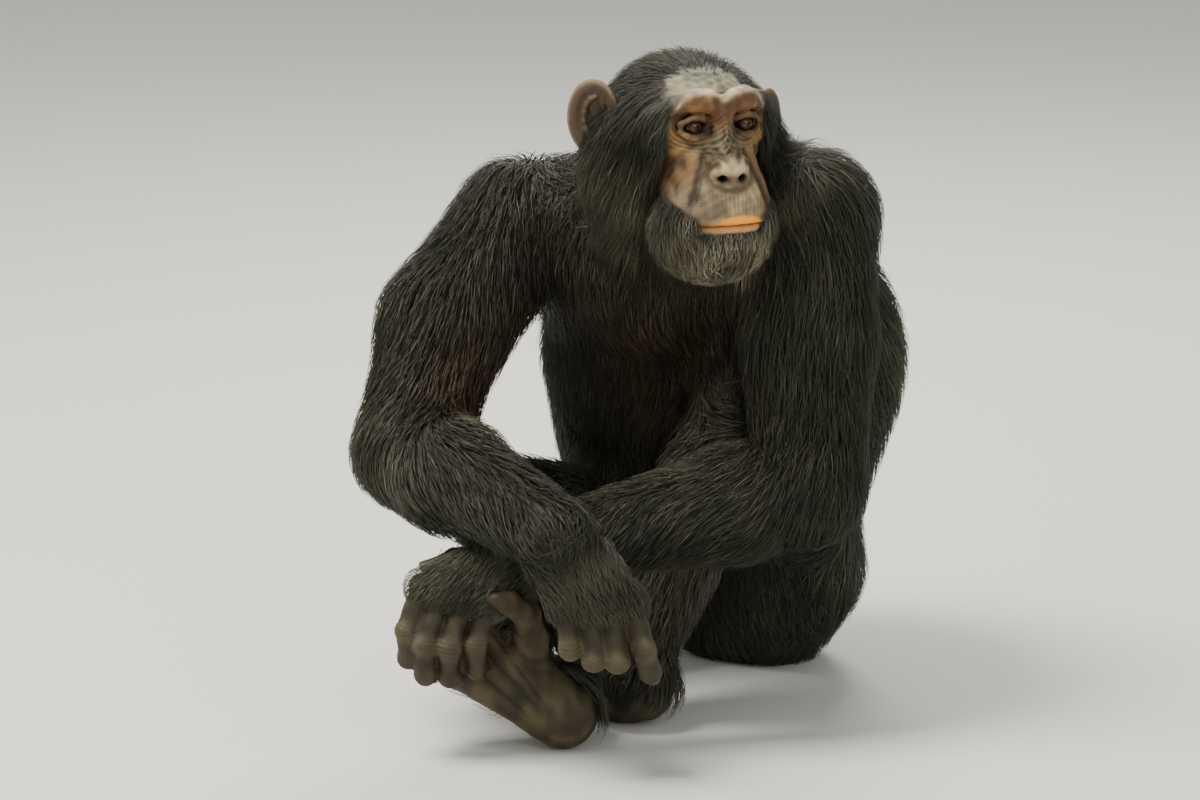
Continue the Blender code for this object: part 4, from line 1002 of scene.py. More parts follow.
def vertex_normals(points, quads):
    one = points[quads[:, 1]] - points[quads[:, 0]]
    two = points[quads[:, 3]] - points[quads[:, 0]]
    three = points[quads[:, 3]] - points[quads[:, 2]]
    four = points[quads[:, 1]] - points[quads[:, 2]]
    n = np.cross(one, two) + np.cross(three, four)
    out = np.zeros_like(points)
    for k in range(4):
        np.add.at(out, quads[:, k], n)
    return out / np.maximum(np.linalg.norm(out, axis=1, keepdims=True), 1e-12)


def make_skin(guide):
    body = body_island(guide)
    islands = []
    for side, grip, thumb in ((1, HAND_L, THUMB_L), (-1, HAND_R, THUMB_R)):
        island, (point, way) = hand_island(grip, thumb)
        islands.append(island)
        cut_limb(body, grip.row, 0.085, point, way)
    for side, foot, great, ankle, knee in ((1, FOOT_L, GREAT_L, ANKLE_L, KNEE_L),
                                           (-1, FOOT_R, GREAT_R, ANKLE_R, KNEE_R)):
        island, (point, way) = foot_island(foot, great, ankle, knee)
        islands.append(island)
        cut_limb(body, foot.at(0.05, 0, 0), 0.105, point, way)
    keep_behind(body, (0, 0, 0.0006), (0, 0, -1))
    islands.append(surface(body))
    islands.append(head_island())
    starts = np.cumsum([0] + [len(points) for points, _ in islands])
    island = np.repeat(np.arange(len(islands)), np.diff(starts))
    points = np.concatenate([points for points, _ in islands])
    quads = np.concatenate([np.asarray(quads) + start for (_, quads), start in zip(islands, starts)])
    head = island == HEAD
    relief = digit_relief(points, island)
    relief[head] += face_relief(points[head])
    colours = skin_colour(points, island)
    # Painted shade darkens the folds, and painted light makes the ridges paler.
    colours *= np.exp(np.clip(relief / 0.0011, -1.2, 0.6) * np.where(lip_places(points, head), 0.2, 0.75))[:, None]
    points = points + vertex_normals(points, quads) * relief[:, None]
    skin = mesh_piece("skin", points, quads)
    add_tint(skin, colours)
    return skin, points, quads, island


def lip_places(points, head):
    f, l, u = head_place(points)
    return head & (lip_mask(f, l, u) > 0.3)


def cut_limb(clay, middle, reach, point, way):
    """Take a hand or foot off a block: all ahead of the plane and within reach of its middle."""
    low = np.array(middle) - reach * 1.6
    high = np.array(middle) + reach * 1.6
    i, j = clay.window(low, high, 0.0)
    cut = (slice(i[0], j[0]), slice(i[1], j[1]), slice(i[2], j[2]))
    p = clay.points(i, j)
    ahead = (p - np.array(point)) @ np.array(way)
    near = np.linalg.norm(p - np.array(middle), axis=1) - reach
    clay.value[cut] = np.maximum(clay.value[cut], -np.maximum(-ahead, near).reshape(clay.value[cut].shape))


# The coat. Tufts root on the skin, lie along it by the guide block and carry the markings.


def sample(clay, p):
    """Distance values of a block at any points, by blending the eight nearest."""
    q = (p - clay.low) / clay.step
    i = np.clip(np.floor(q).astype(int), 0, np.array(clay.shape) - 2)
    t = np.clip(q - i, 0.0, 1.0)
    out = np.zeros(len(p))
    for a in (0, 1):
        for b in (0, 1):
            for c in (0, 1):
                share = (t[:, 0] if a else 1 - t[:, 0]) * (t[:, 1] if b else 1 - t[:, 1])
                share = share * (t[:, 2] if c else 1 - t[:, 2])
                out += share * clay.value[i[:, 0] + a, i[:, 1] + b, i[:, 2] + c]
    return out


def unit(v):
    return v / np.maximum(np.linalg.norm(v, axis=-1, keepdims=True), 1e-9)


def slope(clay, p, h=0.005):
    out = np.zeros_like(p)
    for n in range(3):
        step = np.zeros(3)
        step[n] = h
        out[:, n] = sample(clay, p + step) - sample(clay, p - step)
    return unit(out)


def bones():
    """Axis, radius, coat length, height of the tips over the skin and lie of each stretch of the body."""
    nape = on_head(-0.030, 0, -0.050)
    out = []
    low_back = (Vector((-0.004, -0.004, 0.070)), Vector((-0.006, -0.085, 0.340)))
    high_back = (Vector((-0.006, -0.085, 0.340)), Vector((-0.004, -0.165, 0.470)))
    out.append(("trunk", *low_back, 0.115, 0.050, 0.011, low_back[0] - low_back[1]))
    out.append(("trunk", *high_back, 0.120, 0.052, 0.013, high_back[0] - high_back[1]))
    out.append(("neck", high_back[1], nape, 0.075, 0.050, 0.012, high_back[1] - nape))
    for side, tag in ((1, "left"), (-1, "right")):
        shoulder, elbow, wrist = (SHOULDER_L, ELBOW_L, WRIST_L) if side > 0 else (SHOULDER_R, ELBOW_R, WRIST_R)
        hip, knee, ankle = (HIP_L, KNEE_L, ANKLE_L) if side > 0 else (HIP_R, KNEE_R, ANKLE_R)
        grip = HAND_L if side > 0 else HAND_R
        foot = FOOT_L if side > 0 else FOOT_R
        out.append(("arm_" + tag, shoulder, elbow, 0.052, 0.050, 0.0105, elbow - shoulder))
        out.append(("arm_" + tag, elbow, wrist, 0.038, 0.044, 0.0098, wrist - elbow))
        out.append(("arm_" + tag, wrist, grip.row, 0.022, 0.016, 0.0035, grip.row - wrist))
        out.append(("leg_" + tag, hip, knee, 0.054, 0.044, 0.0100, knee - hip))
        out.append(("leg_" + tag, knee, ankle, 0.036, 0.038, 0.0090, ankle - knee))
        out.append(("leg_" + tag, ankle, foot.at(0.09, 0, 0), 0.022, 0.012, 0.0025, foot.toes))
    return out


def head_coat(p):
    """Lie, length and height of the coat on the head."""
    f, l, u = head_place(p)
    side = np.sign(l)
    a = np.abs(l)
    F, L, U = (np.array(v) for v in (FORWARD, LEFT, UP))
    top = fade(u, 0.010, 0.035)
    cheek = fade(a, 0.030, 0.050) * fade(f, -0.03, 0.02)
    beard = fade(f, 0.040, 0.062) * fade(u, -0.066, -0.084)
    lie = -U[None] * 1.0 - F[None] * 0.45
    lie = lie + top[:, None] * (-F[None] * 0.9 + U[None] * 0.35) + L[None] * (l * 16 * top)[:, None]
    lie = lie + cheek[:, None] * (F[None] * 0.30 - U[None] * 0.5) + L[None] * (side * 0.45 * cheek)[:, None]
    # The beard radiates from the mouth.
    ray = L[None] * (l * 11)[:, None] - U[None] * 1.0 + F[None] * 0.30
    lie = lie * (1 - beard)[:, None] + unit(ray) * beard[:, None]
    near = np.hypot(l, u - MOUTH_UP)
    length = 0.036 + 0.024 * cheek * fade(u, 0.03, -0.02) - 0.008 * top
    length = length + (0.010 + 0.016 * fade(near, 0.020, 0.045) - length) * beard
    height = 0.0090 + 0.0060 * cheek * fade(u, 0.03, -0.03)
    height = height + (0.004 + 0.010 * fade(near, 0.022, 0.050) - height) * beard
    # Short hair at the edge of the bald forehead.
    edge = fade(f, 0.020, 0.045) * fade(u, 0.020, 0.035)
    return unit(lie), length * (1 - 0.45 * edge), height * (1 - 0.75 * edge)


def coat_field(p, normals):
    """All that the coat needs to know at its roots."""
    table = bones()
    lie = np.zeros_like(p)
    length = np.zeros(len(p))
    height = np.zeros(len(p))
    total = np.zeros(len(p))
    best = np.full(len(p), 1e9)
    region = np.zeros(len(p), int)
    chart = np.zeros((len(p), 2))
    for n, (_, a, b, radius, long, high, way) in enumerate(table):
        a = np.array(a)
        ab = np.array(b) - a
        h = (p - a) @ ab / (ab @ ab)
        q = p - a - np.clip(h, 0, 1)[:, None] * ab
        d = np.linalg.norm(q, axis=1) / radius
        share = np.exp(-np.clip(d - 1.0, 0, 20) * 5.0)
        way = np.array(way) / np.linalg.norm(way)
        lie += share[:, None] * way
        length += share * long
        height += share * high
        total += share
        u = np.cross(ab, (0.3, 0.5, 0.8))
        u = u / np.linalg.norm(u)
        v = np.cross(ab, u) / np.linalg.norm(ab)
        turn = np.arctan2(q @ v, q @ u) / (2 * math.pi) + 0.5
        closer = d < best
        best = np.where(closer, d, best)
        region = np.where(closer, n, region)
        tile = np.array((n % 4, n // 4))
        spot = (tile + 0.04 + 0.92 * np.stack([turn, np.clip(h * 0.8 + 0.1, 0, 1)], -1)) / 4.0
        chart = np.where(closer[:, None], spot, chart)
    total = np.maximum(total, 1e-9)
    lie = unit(lie / total[:, None])
    length = length / total
    height = height / total
    # Weight pulls the long coat down, and the chest's hangs straight.
    ahead = fade(normals @ np.array((0.0, -1.0, -0.1)), 0.1, 0.6) * (region < 2)
    lie = lie + np.array((0, 0, -1.0)) * (0.35 + 1.6 * ahead)[:, None]
    length = length * (1 - 0.30 * ahead)
    height = height * (1 - 0.45 * ahead)
    head_lie, head_length, head_height = head_coat(p)
    f, l, u = head_place(p)
    ahead_of = np.where(f > 0, 1.55, 1.1)
    on = fade(np.sqrt((f / ahead_of) ** 2 + l * l + ((u + 0.045) / 1.25) ** 2), 0.128, 0.108) * fade(
        u + 0.75 * f, -0.145, -0.095)
    lie = unit(unit(lie) * (1 - on)[:, None] + head_lie * on[:, None])
    length = length * (1 - on) + head_length * on
    height = height * (1 - on) + head_height * on
    head_region = len(table)
    turn = np.arctan2(l, f) / (2 * math.pi) + 0.5
    lift = np.arctan2(u + 0.02, np.hypot(f, l)) / math.pi + 0.5
    spot = (np.array((head_region % 4, head_region // 4)) + 0.04 + 0.92 * np.stack([turn, lift], -1)) / 4.0
    region = np.where(on > 0.5, head_region, region)
    chart = np.where((on > 0.5)[:, None], spot, chart)
    return lie, length, height, region, chart, on


def on_ends(p):
    """1 on the hands and feet, falling to 0 up the wrists and ankles."""
    near = np.full(len(p), 1.0)
    for spot in (HAND_L.row, HAND_R.row, FOOT_L.at(0.09, 0, 0), FOOT_R.at(0.09, 0, 0)):
        near = np.minimum(near, np.linalg.norm(p - np.array(spot), axis=1))
    return fade(near, 0.105, 0.055)


def coat_density(p, normals, island, on):
    """Share of the full number of tufts at a place: none on the face, ears, palms, soles and digits."""
    out = 1.0 + 1.3 * on
    head = island == HEAD
    q = p[head]
    f, l, u = head_place(q)
    beard = fade(f, 0.040, 0.060) * fade(u, -0.066, -0.084)
    sparse = 0.10 * fade(u, 0.044, 0.054)
    front = fade(f, 0.050, 0.020) * fade(np.abs(l), 0.055, 0.070)
    # Roots stand a little inside the bare skin, so that their hair hides its edge.
    bare = bare_face(q + head_coat(q)[0] * 0.005)
    out[head] = out[head] * (1 - bare * (1 - sparse)) * (1 - 0.985 * ear_mask(q) * ear_rim(q))
    out[head] = out[head] * (1 + 1.2 * beard + 0.8 * front)
    for code, grip in ((LEFT_HAND, HAND_L), (RIGHT_HAND, HAND_R)):
        own = island == code
        q = p[own]
        back = fade(normals[own] @ np.array(grip.back), -0.30, 0.15)
        digit = np.full(len(q), 1.0)
        for n in range(4):
            spots = grip.finger(n)[0]
            reach = 0.70 * (spots[2] - spots[1]).length
            ahead = (q - np.array(spots[1])) @ np.array((spots[2] - spots[1]).normalized())
            near = np.linalg.norm(np.cross(q - np.array(spots[1]), np.array((spots[2] - spots[1]).normalized())), axis=1)
            digit = np.minimum(digit, 1 - fade(ahead, reach - 0.006, reach + 0.006) * fade(near, 0.030, 0.020))
        for spot in (THUMB_L if code == LEFT_HAND else THUMB_R)[0][1:]:
            digit = np.minimum(digit, fade(np.linalg.norm(q - np.array(spot), axis=1), 0.013, 0.019))
        out[own] = (1.0 + 2.0 * on_ends(q)) * back * digit
    for code, foot, great in ((LEFT_FOOT, FOOT_L, GREAT_L), (RIGHT_FOOT, FOOT_R, GREAT_R)):
        own = island == code
        q = p[own]
        along = (q - np.array(foot.heel)) @ np.array(foot.toes)
        top = fade(normals[own] @ np.array(foot.down), 0.10, -0.30)
        rise = fade((q - np.array(foot.heel)) @ np.array(foot.down), -0.032, -0.046)
        digit = fade(along, 0.118, 0.095)
        for spot in great[0][1:]:
            digit = np.minimum(digit, fade(np.linalg.norm(q - np.array(spot), axis=1), 0.016, 0.024))
        out[own] = 1.8 * np.maximum(top * digit, rise * fade(along, 0.060, 0.030)) * fade(q[:, 2], 0.030, 0.055)
    return np.maximum(out, 0.0)


def coat_colour(p, normals, island, on, rng):
    f, l, u = head_place(p)
    n = len(p)
    out = np.tile(np.array(BLACK), (n, 1))
    out = mixed(out, GREYED, fade(ripple(p, 0.022, 21), -0.2, 1.2) * 0.55)
    # Brown hair on the chest and on the inner side of the right arm, grey on the lower back and legs.
    chest = np.exp(-(((p - np.array((0.0, -0.235, 0.400))) / (0.085, 0.09, 0.10)) ** 2).sum(1))
    out = mixed(out, BROWNED, np.clip(chest * 1.3, 0, 1))
    arm = np.exp(-(((p - np.array(SHOULDER_R.lerp(ELBOW_R, 0.62))) / 0.075) ** 2).sum(1))
    out = mixed(out, (0.050, 0.028, 0.014), arm * fade(normals[:, 0], 0.0, 0.7))
    out = mixed(out, GREYED, 0.5 * fade(p[:, 2], 0.30, 0.12) * fade(p[:, 1], -0.12, 0.0))
    cheek = on * fade(np.abs(l), 0.035, 0.055) * fade(u, 0.00, -0.08)
    out = mixed(out, (0.110, 0.102, 0.062), cheek * fade(ripple(p, 0.012, 23), -0.5, 1.0))
    # Painted light: the hair on top of the head is lighter, where light from above falls.
    out = mixed(out, (0.044, 0.043, 0.032), on * fade(u, 0.010, 0.035) * 0.7)
    near = np.hypot(l, u - MOUTH_UP)
    beard = on * fade(f, 0.040, 0.060) * fade(u, -0.066, -0.082) * fade(np.abs(l), 0.056, 0.038)
    out = mixed(out, BEARD, beard * np.clip(0.55 + 0.45 * rng.normal(size=n), 0.05, 1.0))
    out = out * np.exp(rng.normal(0, 0.30, n) + 0.30 * ripple(p, 0.0075, 25))[:, None]
    out = mixed(out, (0.090, 0.091, 0.064), on_ends(p) * (0.55 + 0.30 * ripple(p, 0.012, 27)).clip(0, 1))
    shin = np.exp(-(((p - np.array(KNEE_L.lerp(ANKLE_L, 0.55))) / 0.085) ** 2).sum(1))
    out = mixed(out, (0.085, 0.082, 0.054), shin * 0.75)
    grey = (rng.random(n) < 0.03 + 0.14 * cheek) * (1 - beard)
    out = mixed(out, (0.10, 0.10, 0.075), grey * 0.7)
    return np.clip(out, 0.003, 0.6)


def skin_roots(points, quads, island, count, rng):
    """Roots spread over the skin by area and density, with their normals and islands."""
    centre = points[quads].mean(1)
    one = points[quads[:, 2]] - points[quads[:, 0]]
    two = points[quads[:, 3]] - points[quads[:, 1]]
    cross = np.cross(one, two)
    area = np.linalg.norm(cross, axis=1) / 2
    normal = cross / np.maximum(2 * area, 1e-12)[:, None]
    owner = island[quads[:, 0]]
    on = coat_field(centre, normal)[-1]
    weight = area * coat_density(centre, normal, owner, on)
    weight = weight * np.where((normal[:, 2] < -0.5) & (centre[:, 2] < 0.012), 0.0, 1.0)
    total = np.cumsum(weight)
    picks = (np.arange(count) + rng.random(count)) / count * total[-1]
    face = np.clip(np.searchsorted(total, picks), 0, len(quads) - 1)
    a = rng.random(count)[:, None]
    b = rng.random(count)[:, None]
    corner = points[quads[face]]
    p = (corner[:, 0] * (1 - a) + corner[:, 1] * a) * (1 - b) + (corner[:, 3] * (1 - a) + corner[:, 2] * a) * b
    return p, normal[face], owner[face]


def clumped(p, cell, rng):
    """The middle of the clump that each root belongs to."""
    shift = rng.random(3) * cell
    key = np.floor((p + shift) / cell).astype(int)
    _, index = np.unique(key, axis=0, return_inverse=True)
    index = index.ravel()
    count = np.bincount(index).astype(float)
    middle = np.stack([np.bincount(index, p[:, n]) / count for n in range(3)], -1)
    return middle[index]


def make_coat(guide, points, quads, island, count, width):
    rng = np.random.default_rng(41)
    p, normals, owner = skin_roots(points, quads, island, count, rng)
    lie, length, height, region, chart, on = coat_field(p, normals)
    tint = coat_colour(p, normals, owner, on, rng)
    small = (owner < BODY) * on_ends(p)
    length = length + (np.minimum(length, 0.020) - length) * small
    height = height + (np.minimum(height, 0.0045) - height) * small
    middle = clumped(p, 0.013, rng)
    n = len(p)
    length = length * (0.72 + 0.5 * rng.random(n))
    height = height * (0.35 + 0.75 * rng.random(n))
    broad = width * (0.7 + 0.6 * rng.random(n)) * (1 - 0.40 * on) * (1 - 0.35 * small)
    calm = (1 - 0.70 * on) * (1 - 0.65 * small)
    lie = lie + 0.13 * rng.normal(size=(n, 3)) + (0.28 * calm)[:, None] * np.stack([ripple(p, 0.030, 61 + k) for k in range(3)], -1)
    lie = unit(lie - normals * np.einsum("ij,ij->i", lie, normals)[:, None])
    stops = (0.0, 0.30, 0.65, 1.0)
    thick = (0.9, 1.0, 0.62, 0.0)
    spots = [p - normals * 0.0025]
    place = p.copy()
    way = lie.copy()
    outs = [normals]
    for k in range(1, 4):
        step = (stops[k] - stops[k - 1]) * length
        place = place + way * step[:, None]
        out = slope(guide, place)
        pull = (middle - p) * (0.50 * calm * stops[k])[:, None]
        goal = height * (1 - (1 - stops[k]) ** 2.0)
        off = sample(guide, place)
        lift = np.clip(goal - off, -0.012, 0.012)
        place = place + out * lift[:, None]
        way = unit(way - out * np.einsum("ij,ij->i", way, out)[:, None] + 1e-6)
        way = unit(way + np.array((0, 0, -0.10)))
        spot = place + pull
        spot[:, 2] = np.maximum(spot[:, 2], 0.0012)
        spots.append(spot)
        outs.append(out)
    groups = {}
    table = bones()
    names = [row[0] for row in table] + ["head"]
    group = np.array([names[r] for r in region])
    pieces = []
    for name in sorted(set(names)):
        index = np.nonzero(group == name)[0]
        parts = max(1, math.ceil(len(index) * 15 / 195000))
        for k, chunk in enumerate(np.array_split(index, parts)):
            if len(chunk):
                label = "coat_%s_%d" % (name, k + 1)
                pieces.append(tuft_piece(label, [s[chunk] for s in spots], [o[chunk] for o in outs],
                                         broad[chunk], thick, tint[chunk], chart[chunk]))
    return pieces


def tuft_piece(name, spots, outs, broad, thick, tint, chart):
    """One joined mesh of three-sided tapering tufts."""
    n = len(broad)
    rings = len(spots) - 1
    verts = np.zeros((n, rings * 3 + 1, 3))
    for k in range(rings):
        ahead = spots[k + 1] - spots[k]
        side = unit(np.cross(ahead, outs[k]))
        w = (broad * thick[k])[:, None]
        verts[:, k * 3] = spots[k] - side * w * 0.5
        verts[:, k * 3 + 1] = spots[k] + side * w * 0.5
        verts[:, k * 3 + 2] = spots[k] + outs[k] * w * 0.42
    verts[:, -1] = spots[-1]
    faces = []
    for k in range(rings - 1):
        for a, b in ((0, 1), (1, 2), (2, 0)):
            low_a, low_b, top_a, top_b = k * 3 + a, k * 3 + b, k * 3 + 3 + a, k * 3 + 3 + b
            faces.append((low_a, top_a, top_b))
            faces.append((low_a, top_b, low_b))
    last = (rings - 1) * 3
    for a, b in ((0, 1), (1, 2), (2, 0)):
        faces.append((last + a, last + 3, last + b))
    faces = np.array(faces)
    count = rings * 3 + 1
    all_faces = (faces[None] + (np.arange(n) * count)[:, None, None]).reshape(-1, 3)
    obj = mesh_piece(name, verts.reshape(-1, 3), all_faces)
    shade = np.repeat(tint[:, None], count, axis=1)
    # Painted shade darkens each tuft towards its root, and a painted sheen lightens its tip.
    fall = np.ones(count)
    for k in range(rings):
        fall[k * 3:k * 3 + 3] = (0.70, 0.92, 1.05)[k]
    fall[-1] = 1.15
    # The painted shade at the root and the painted sheen at the tip are stronger on pale hairs.
    power = 1.0 + 2.4 * fade(tint[:, 1], 0.05, 0.14)
    add_tint(obj, (shade * (fall[None] ** power[:, None])[:, :, None]).reshape(-1, 3))
    layer = obj.data.uv_layers.new(name="OFBake")
    local = np.zeros((count, 2))
    for k in range(rings):
        local[k * 3:k * 3 + 3] = [(x, k / rings - 0.5) for x in (-0.5, 0.5, 0.0)]
    local[-1] = (0.0, 0.5)
    uv = chart[:, None] + local[None] * 0.003
    layer.data.foreach_set("uv", uv.reshape(-1, 2)[all_faces.ravel()].astype(np.float32).ravel())
    return obj


# Eyes and nails.


def make_eye(side):
    centre = np.array(on_head(EYE_DEPTH, side * EYE_SPACE, EYE_UP))
    gaze = np.array((FORWARD * 1.0 + LEFT * 0.16 - UP * 0.02).normalized())
    one = unit(np.cross(gaze, (0, 0, 1)))
    two = np.cross(one, gaze)
    rows, cols = 40, 48
    points = [centre + gaze * EYE_RADIUS * 1.06]
    angle = [0.0]
    for r in range(1, rows):
        t = math.pi * (r / rows) ** 1.15
        bulge = 1.0 + 0.06 * math.exp(-(t / 0.45) ** 4)
        for c in range(cols):
            s = 2 * math.pi * c / cols
            way = gaze * math.cos(t) + (one * math.cos(s) + two * math.sin(s)) * math.sin(t)
            points.append(centre + way * EYE_RADIUS * bulge)
            angle.append(t)
    points.append(centre - gaze * EYE_RADIUS)
    angle.append(math.pi)
    faces = []
    for c in range(cols):
        faces.append((0, 1 + c, 1 + (c + 1) % cols))
    for r in range(rows - 2):
        for c in range(cols):
            a = 1 + r * cols + c
            b = 1 + r * cols + (c + 1) % cols
            faces.append((a, a + cols, b + cols))
            faces.append((a, b + cols, b))
    last = len(points) - 1
    for c in range(cols):
        faces.append((last, last - cols + (c + 1) % cols, last - cols + c))
    name = "eye_" + ("left" if side > 0 else "right")
    eye = mesh_piece(name + "_ball", np.array(points), faces)
    t = np.array(angle)
    colour = np.tile(np.array((0.018, 0.010, 0.007)), (len(t), 1))
    colour = mixed(colour, (0.070, 0.026, 0.009), fade(t, 0.66, 0.60))
    colour = mixed(colour, (0.085, 0.034, 0.011), np.exp(-((t - 0.42) / 0.10) ** 2))
    colour = mixed(colour, (0.002, 0.002, 0.002), fade(t, 0.27, 0.22))
    add_tint(eye, colour)
    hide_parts(name)
    return eye


def make_nail(name, spots, radii, dorsal, size=1.0):
    """A curved plate on the back of a digit's tip."""
    a, b = np.array(spots[-2]), np.array(spots[-1])
    way = unit(b - a)
    up = unit(dorsal - way * (dorsal @ way))
    side = np.cross(way, up)
    radius = radii[-1]
    points = []
    rows, cols = 6, 7
    for layer in (0.0, 1.0):
        for r in range(rows):
            s = r / (rows - 1)
            for c in range(cols):
                t = (c / (cols - 1) - 0.5) * 1.9 * size
                rr = radius * (1.03 + 0.07 * (1 - layer) + 0.05 * s)
                point = b + way * (-0.0080 + 0.0150 * s - 0.0014 * abs(t) ** 2) * size
                points.append(point + up * rr * math.cos(t) + side * rr * math.sin(t) * 0.98)
    faces = []
    half = rows * cols
    for r in range(rows - 1):
        for c in range(cols - 1):
            k = r * cols + c
            faces.append((k, k + 1, k + cols + 1, k + cols))
            faces.append((half + k, half + k + cols, half + k + cols + 1, half + k + 1))
    ring = [c for c in range(cols)] + [r * cols + cols - 1 for r in range(1, rows)]
    ring += [(rows - 1) * cols + c for c in range(cols - 2, -1, -1)] + [r * cols for r in range(rows - 2, 0, -1)]
    for k in range(len(ring)):
        one, two = ring[k], ring[(k + 1) % len(ring)]
        faces.append((two, one, half + one, half + two))
    return points, faces


def make_nails():
    points = []
    faces = []
    jobs = []
    for grip, thumb in ((HAND_L, THUMB_L), (HAND_R, THUMB_R)):
        for n in range(4):
            spots, radii = grip.finger(n)
            way = np.array(spots[-1] - spots[-2])
            dorsal = np.cross(np.array(grip.across), way) * grip.side
            jobs.append((spots, [r * FULL for r in radii], dorsal, 1.0))
        spots, radii = thumb
        jobs.append((spots, [r * FULL for r in radii], np.array(grip.across) + np.array(grip.back) * 0.8, 1.0))
    for foot, great in ((FOOT_L, GREAT_L), (FOOT_R, GREAT_R)):
        for n in range(1, 5):
            spots, radii = foot.toe(n)
            jobs.append((spots, radii, -np.array(foot.down), 0.9))
        spots, radii = great
        jobs.append((spots, radii, -np.array(foot.down) * 0.4 + np.array(foot.toes) * 0.3, 1.0))
    for spots, radii, dorsal, size in jobs:
        new_points, new_faces = make_nail("nail", spots, radii, dorsal, size)
        faces += [tuple(v + len(points) for v in face) for face in new_faces]
        points += new_points
    return mesh_piece("nails", np.array(points), faces)


# Materials.


def material(name, rough, specular=0.5, noise=0.12, noise_scale=60.0, bump=0.0, bump_scale=400.0, coat=0.0):
    mat = bpy.data.materials.new(name)
    mat.use_nodes = True
    nodes = mat.node_tree.nodes
    links = mat.node_tree.links
    shader = nodes["Principled BSDF"]
    shader.inputs["Roughness"].default_value = rough
    shader.inputs["Specular IOR Level"].default_value = specular
    shader.inputs["Coat Weight"].default_value = coat
    shader.inputs["Coat Roughness"].default_value = 0.04
    tint = nodes.new("ShaderNodeAttribute")
    tint.attribute_name = "tint"
    place = nodes.new("ShaderNodeTexCoord")
    cloud = nodes.new("ShaderNodeTexNoise")
    cloud.inputs["Scale"].default_value = noise_scale
    cloud.inputs["Detail"].default_value = 5.0
    links.new(place.outputs["Object"], cloud.inputs["Vector"])
    span = nodes.new("ShaderNodeMapRange")
    span.inputs["To Min"].default_value = 1.0 - noise
    span.inputs["To Max"].default_value = 1.0 + noise
    links.new(cloud.outputs["Fac"], span.inputs["Value"])
    mix = nodes.new("ShaderNodeVectorMath")
    mix.operation = "SCALE"
    links.new(tint.outputs["Color"], mix.inputs[0])
    links.new(span.outputs["Result"], mix.inputs["Scale"])
    links.new(mix.outputs["Vector"], shader.inputs["Base Color"])
    if bump:
        grain = nodes.new("ShaderNodeTexVoronoi")
        grain.inputs["Scale"].default_value = bump_scale
        links.new(place.outputs["Object"], grain.inputs["Vector"])
        fine = nodes.new("ShaderNodeTexNoise")
        fine.inputs["Scale"].default_value = bump_scale * 0.6
        fine.inputs["Detail"].default_value = 6.0
        links.new(place.outputs["Object"], fine.inputs["Vector"])
        both = nodes.new("ShaderNodeMath")
        both.operation = "ADD"
        links.new(grain.outputs["Distance"], both.inputs[0])
        links.new(fine.outputs["Fac"], both.inputs[1])
        push = nodes.new("ShaderNodeBump")
        push.inputs["Strength"].default_value = bump
        push.inputs["Distance"].default_value = 0.001
        links.new(both.outputs["Value"], push.inputs["Height"])
        links.new(push.outputs["Normal"], shader.inputs["Normal"])
    return mat


# Floor, light and camera.


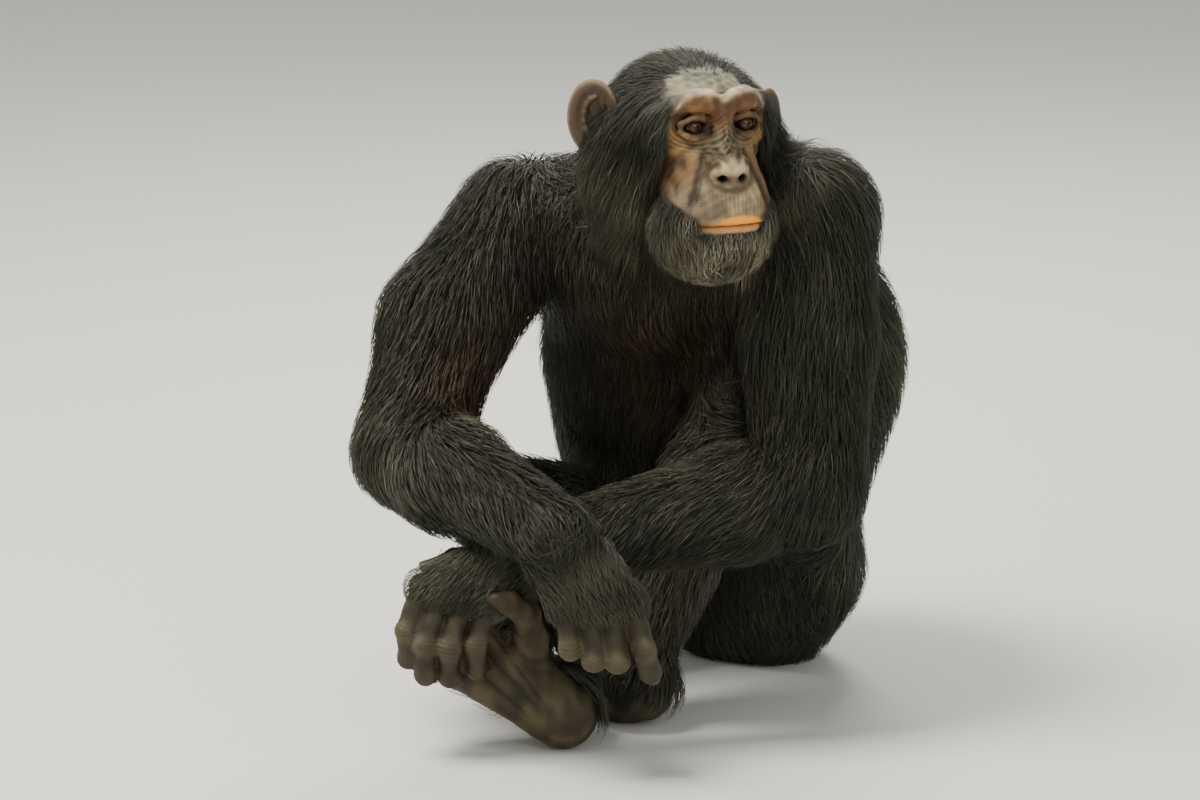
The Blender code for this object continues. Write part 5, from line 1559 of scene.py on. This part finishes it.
def make_stage():
    mesh = bpy.data.meshes.new("floor")
    mesh.from_pydata([(-9, -9, 0), (9, -9, 0), (9, 9, 0), (-9, 9, 0)], [], [(0, 1, 2, 3)])
    floor = bpy.data.objects.new("floor", mesh)
    bpy.context.scene.collection.objects.link(floor)
    mat = bpy.data.materials.new("floor")
    mat.use_nodes = True
    mat.node_tree.nodes["Principled BSDF"].inputs["Base Color"].default_value = (0.62, 0.62, 0.60, 1)
    mat.node_tree.nodes["Principled BSDF"].inputs["Roughness"].default_value = 0.85
    mesh.materials.append(mat)
    world = bpy.data.worlds.new("studio")
    world.use_nodes = True
    world.node_tree.nodes["Background"].inputs["Color"].default_value = (0.86, 0.87, 0.80, 1)
    world.node_tree.nodes["Background"].inputs["Strength"].default_value = 0.75
    bpy.context.scene.world = world
    lamp("key", (-1.0, -1.4, 3.3), 215.0, 1.5, (1.0, 0.96, 0.86))
    lamp("fill", (2.9, -2.2, 1.9), 45.0, 2.2, (1.0, 0.98, 0.93))
    lamp("rim", (-0.9, 2.0, 2.4), 75.0, 1.2, (1.0, 0.98, 0.92))


def lamp(name, spot, power, size, colour):
    data = bpy.data.lights.new(name, "AREA")
    data.energy = power
    data.color = colour
    data.size = size
    obj = bpy.data.objects.new(name, data)
    obj.location = spot
    aim = Vector((0.0, -0.2, 0.35)) - Vector(spot)
    obj.rotation_euler = aim.to_track_quat("-Z", "Y").to_euler()
    bpy.context.scene.collection.objects.link(obj)


def make_camera():
    lift = math.radians(13.0)
    right = seen(1, 0, 0)
    away = seen(0, 1, 0)
    look = away * math.cos(lift) - Vector((0, 0, 1)) * math.sin(lift)
    up = Vector((0, 0, 1)) * math.cos(lift) + away * math.sin(lift)
    data = bpy.data.cameras.new("camera")
    data.lens = 180.0
    data.sensor_width = 36.0
    data.clip_start = 0.1
    data.clip_end = 60.0
    cam = bpy.data.objects.new("camera", data)
    cam.location = right * -0.168 + up * 0.268 - look * 6.33
    cam.rotation_euler = look.to_track_quat("-Z", "Y").to_euler()
    bpy.context.scene.collection.objects.link(cam)
    bpy.context.scene.camera = cam


def main():
    make_camera()
    make_stage()
    guide = make_guide()
    skin, points, quads, island = make_skin(guide)
    whole = Clay(guide.low, guide.low + (np.array(guide.shape) - 1) * guide.step, guide.step)
    whole.value = guide.value.copy() - UNDERCOAT
    for shape, k in head_shapes(0.4, 0.3):
        whole.add(shape, k)
    skin.data.materials.append(material("skin", 0.58, 0.30, 0.22, 90.0, 0.35, 700.0))
    flesh = [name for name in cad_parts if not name.startswith("eye")]
    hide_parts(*flesh)
    count = 90000
    hair = material("coat", 0.48, 0.36, 0.25, 25.0)
    for piece in make_coat(whole, points, quads, island, count, 0.00135):
        piece.data.materials.append(hair)
    eye = material("eye", 0.06, 0.30, 0.05, 200.0)
    for side in (1, -1):
        make_eye(side).data.materials.append(eye)
    nails = make_nails()
    add_tint(nails, np.tile(np.array((0.055, 0.044, 0.036)), (len(nails.data.vertices), 1)))
    nails.data.materials.append(material("nail", 0.35, 0.5, 0.2, 150.0))


main()
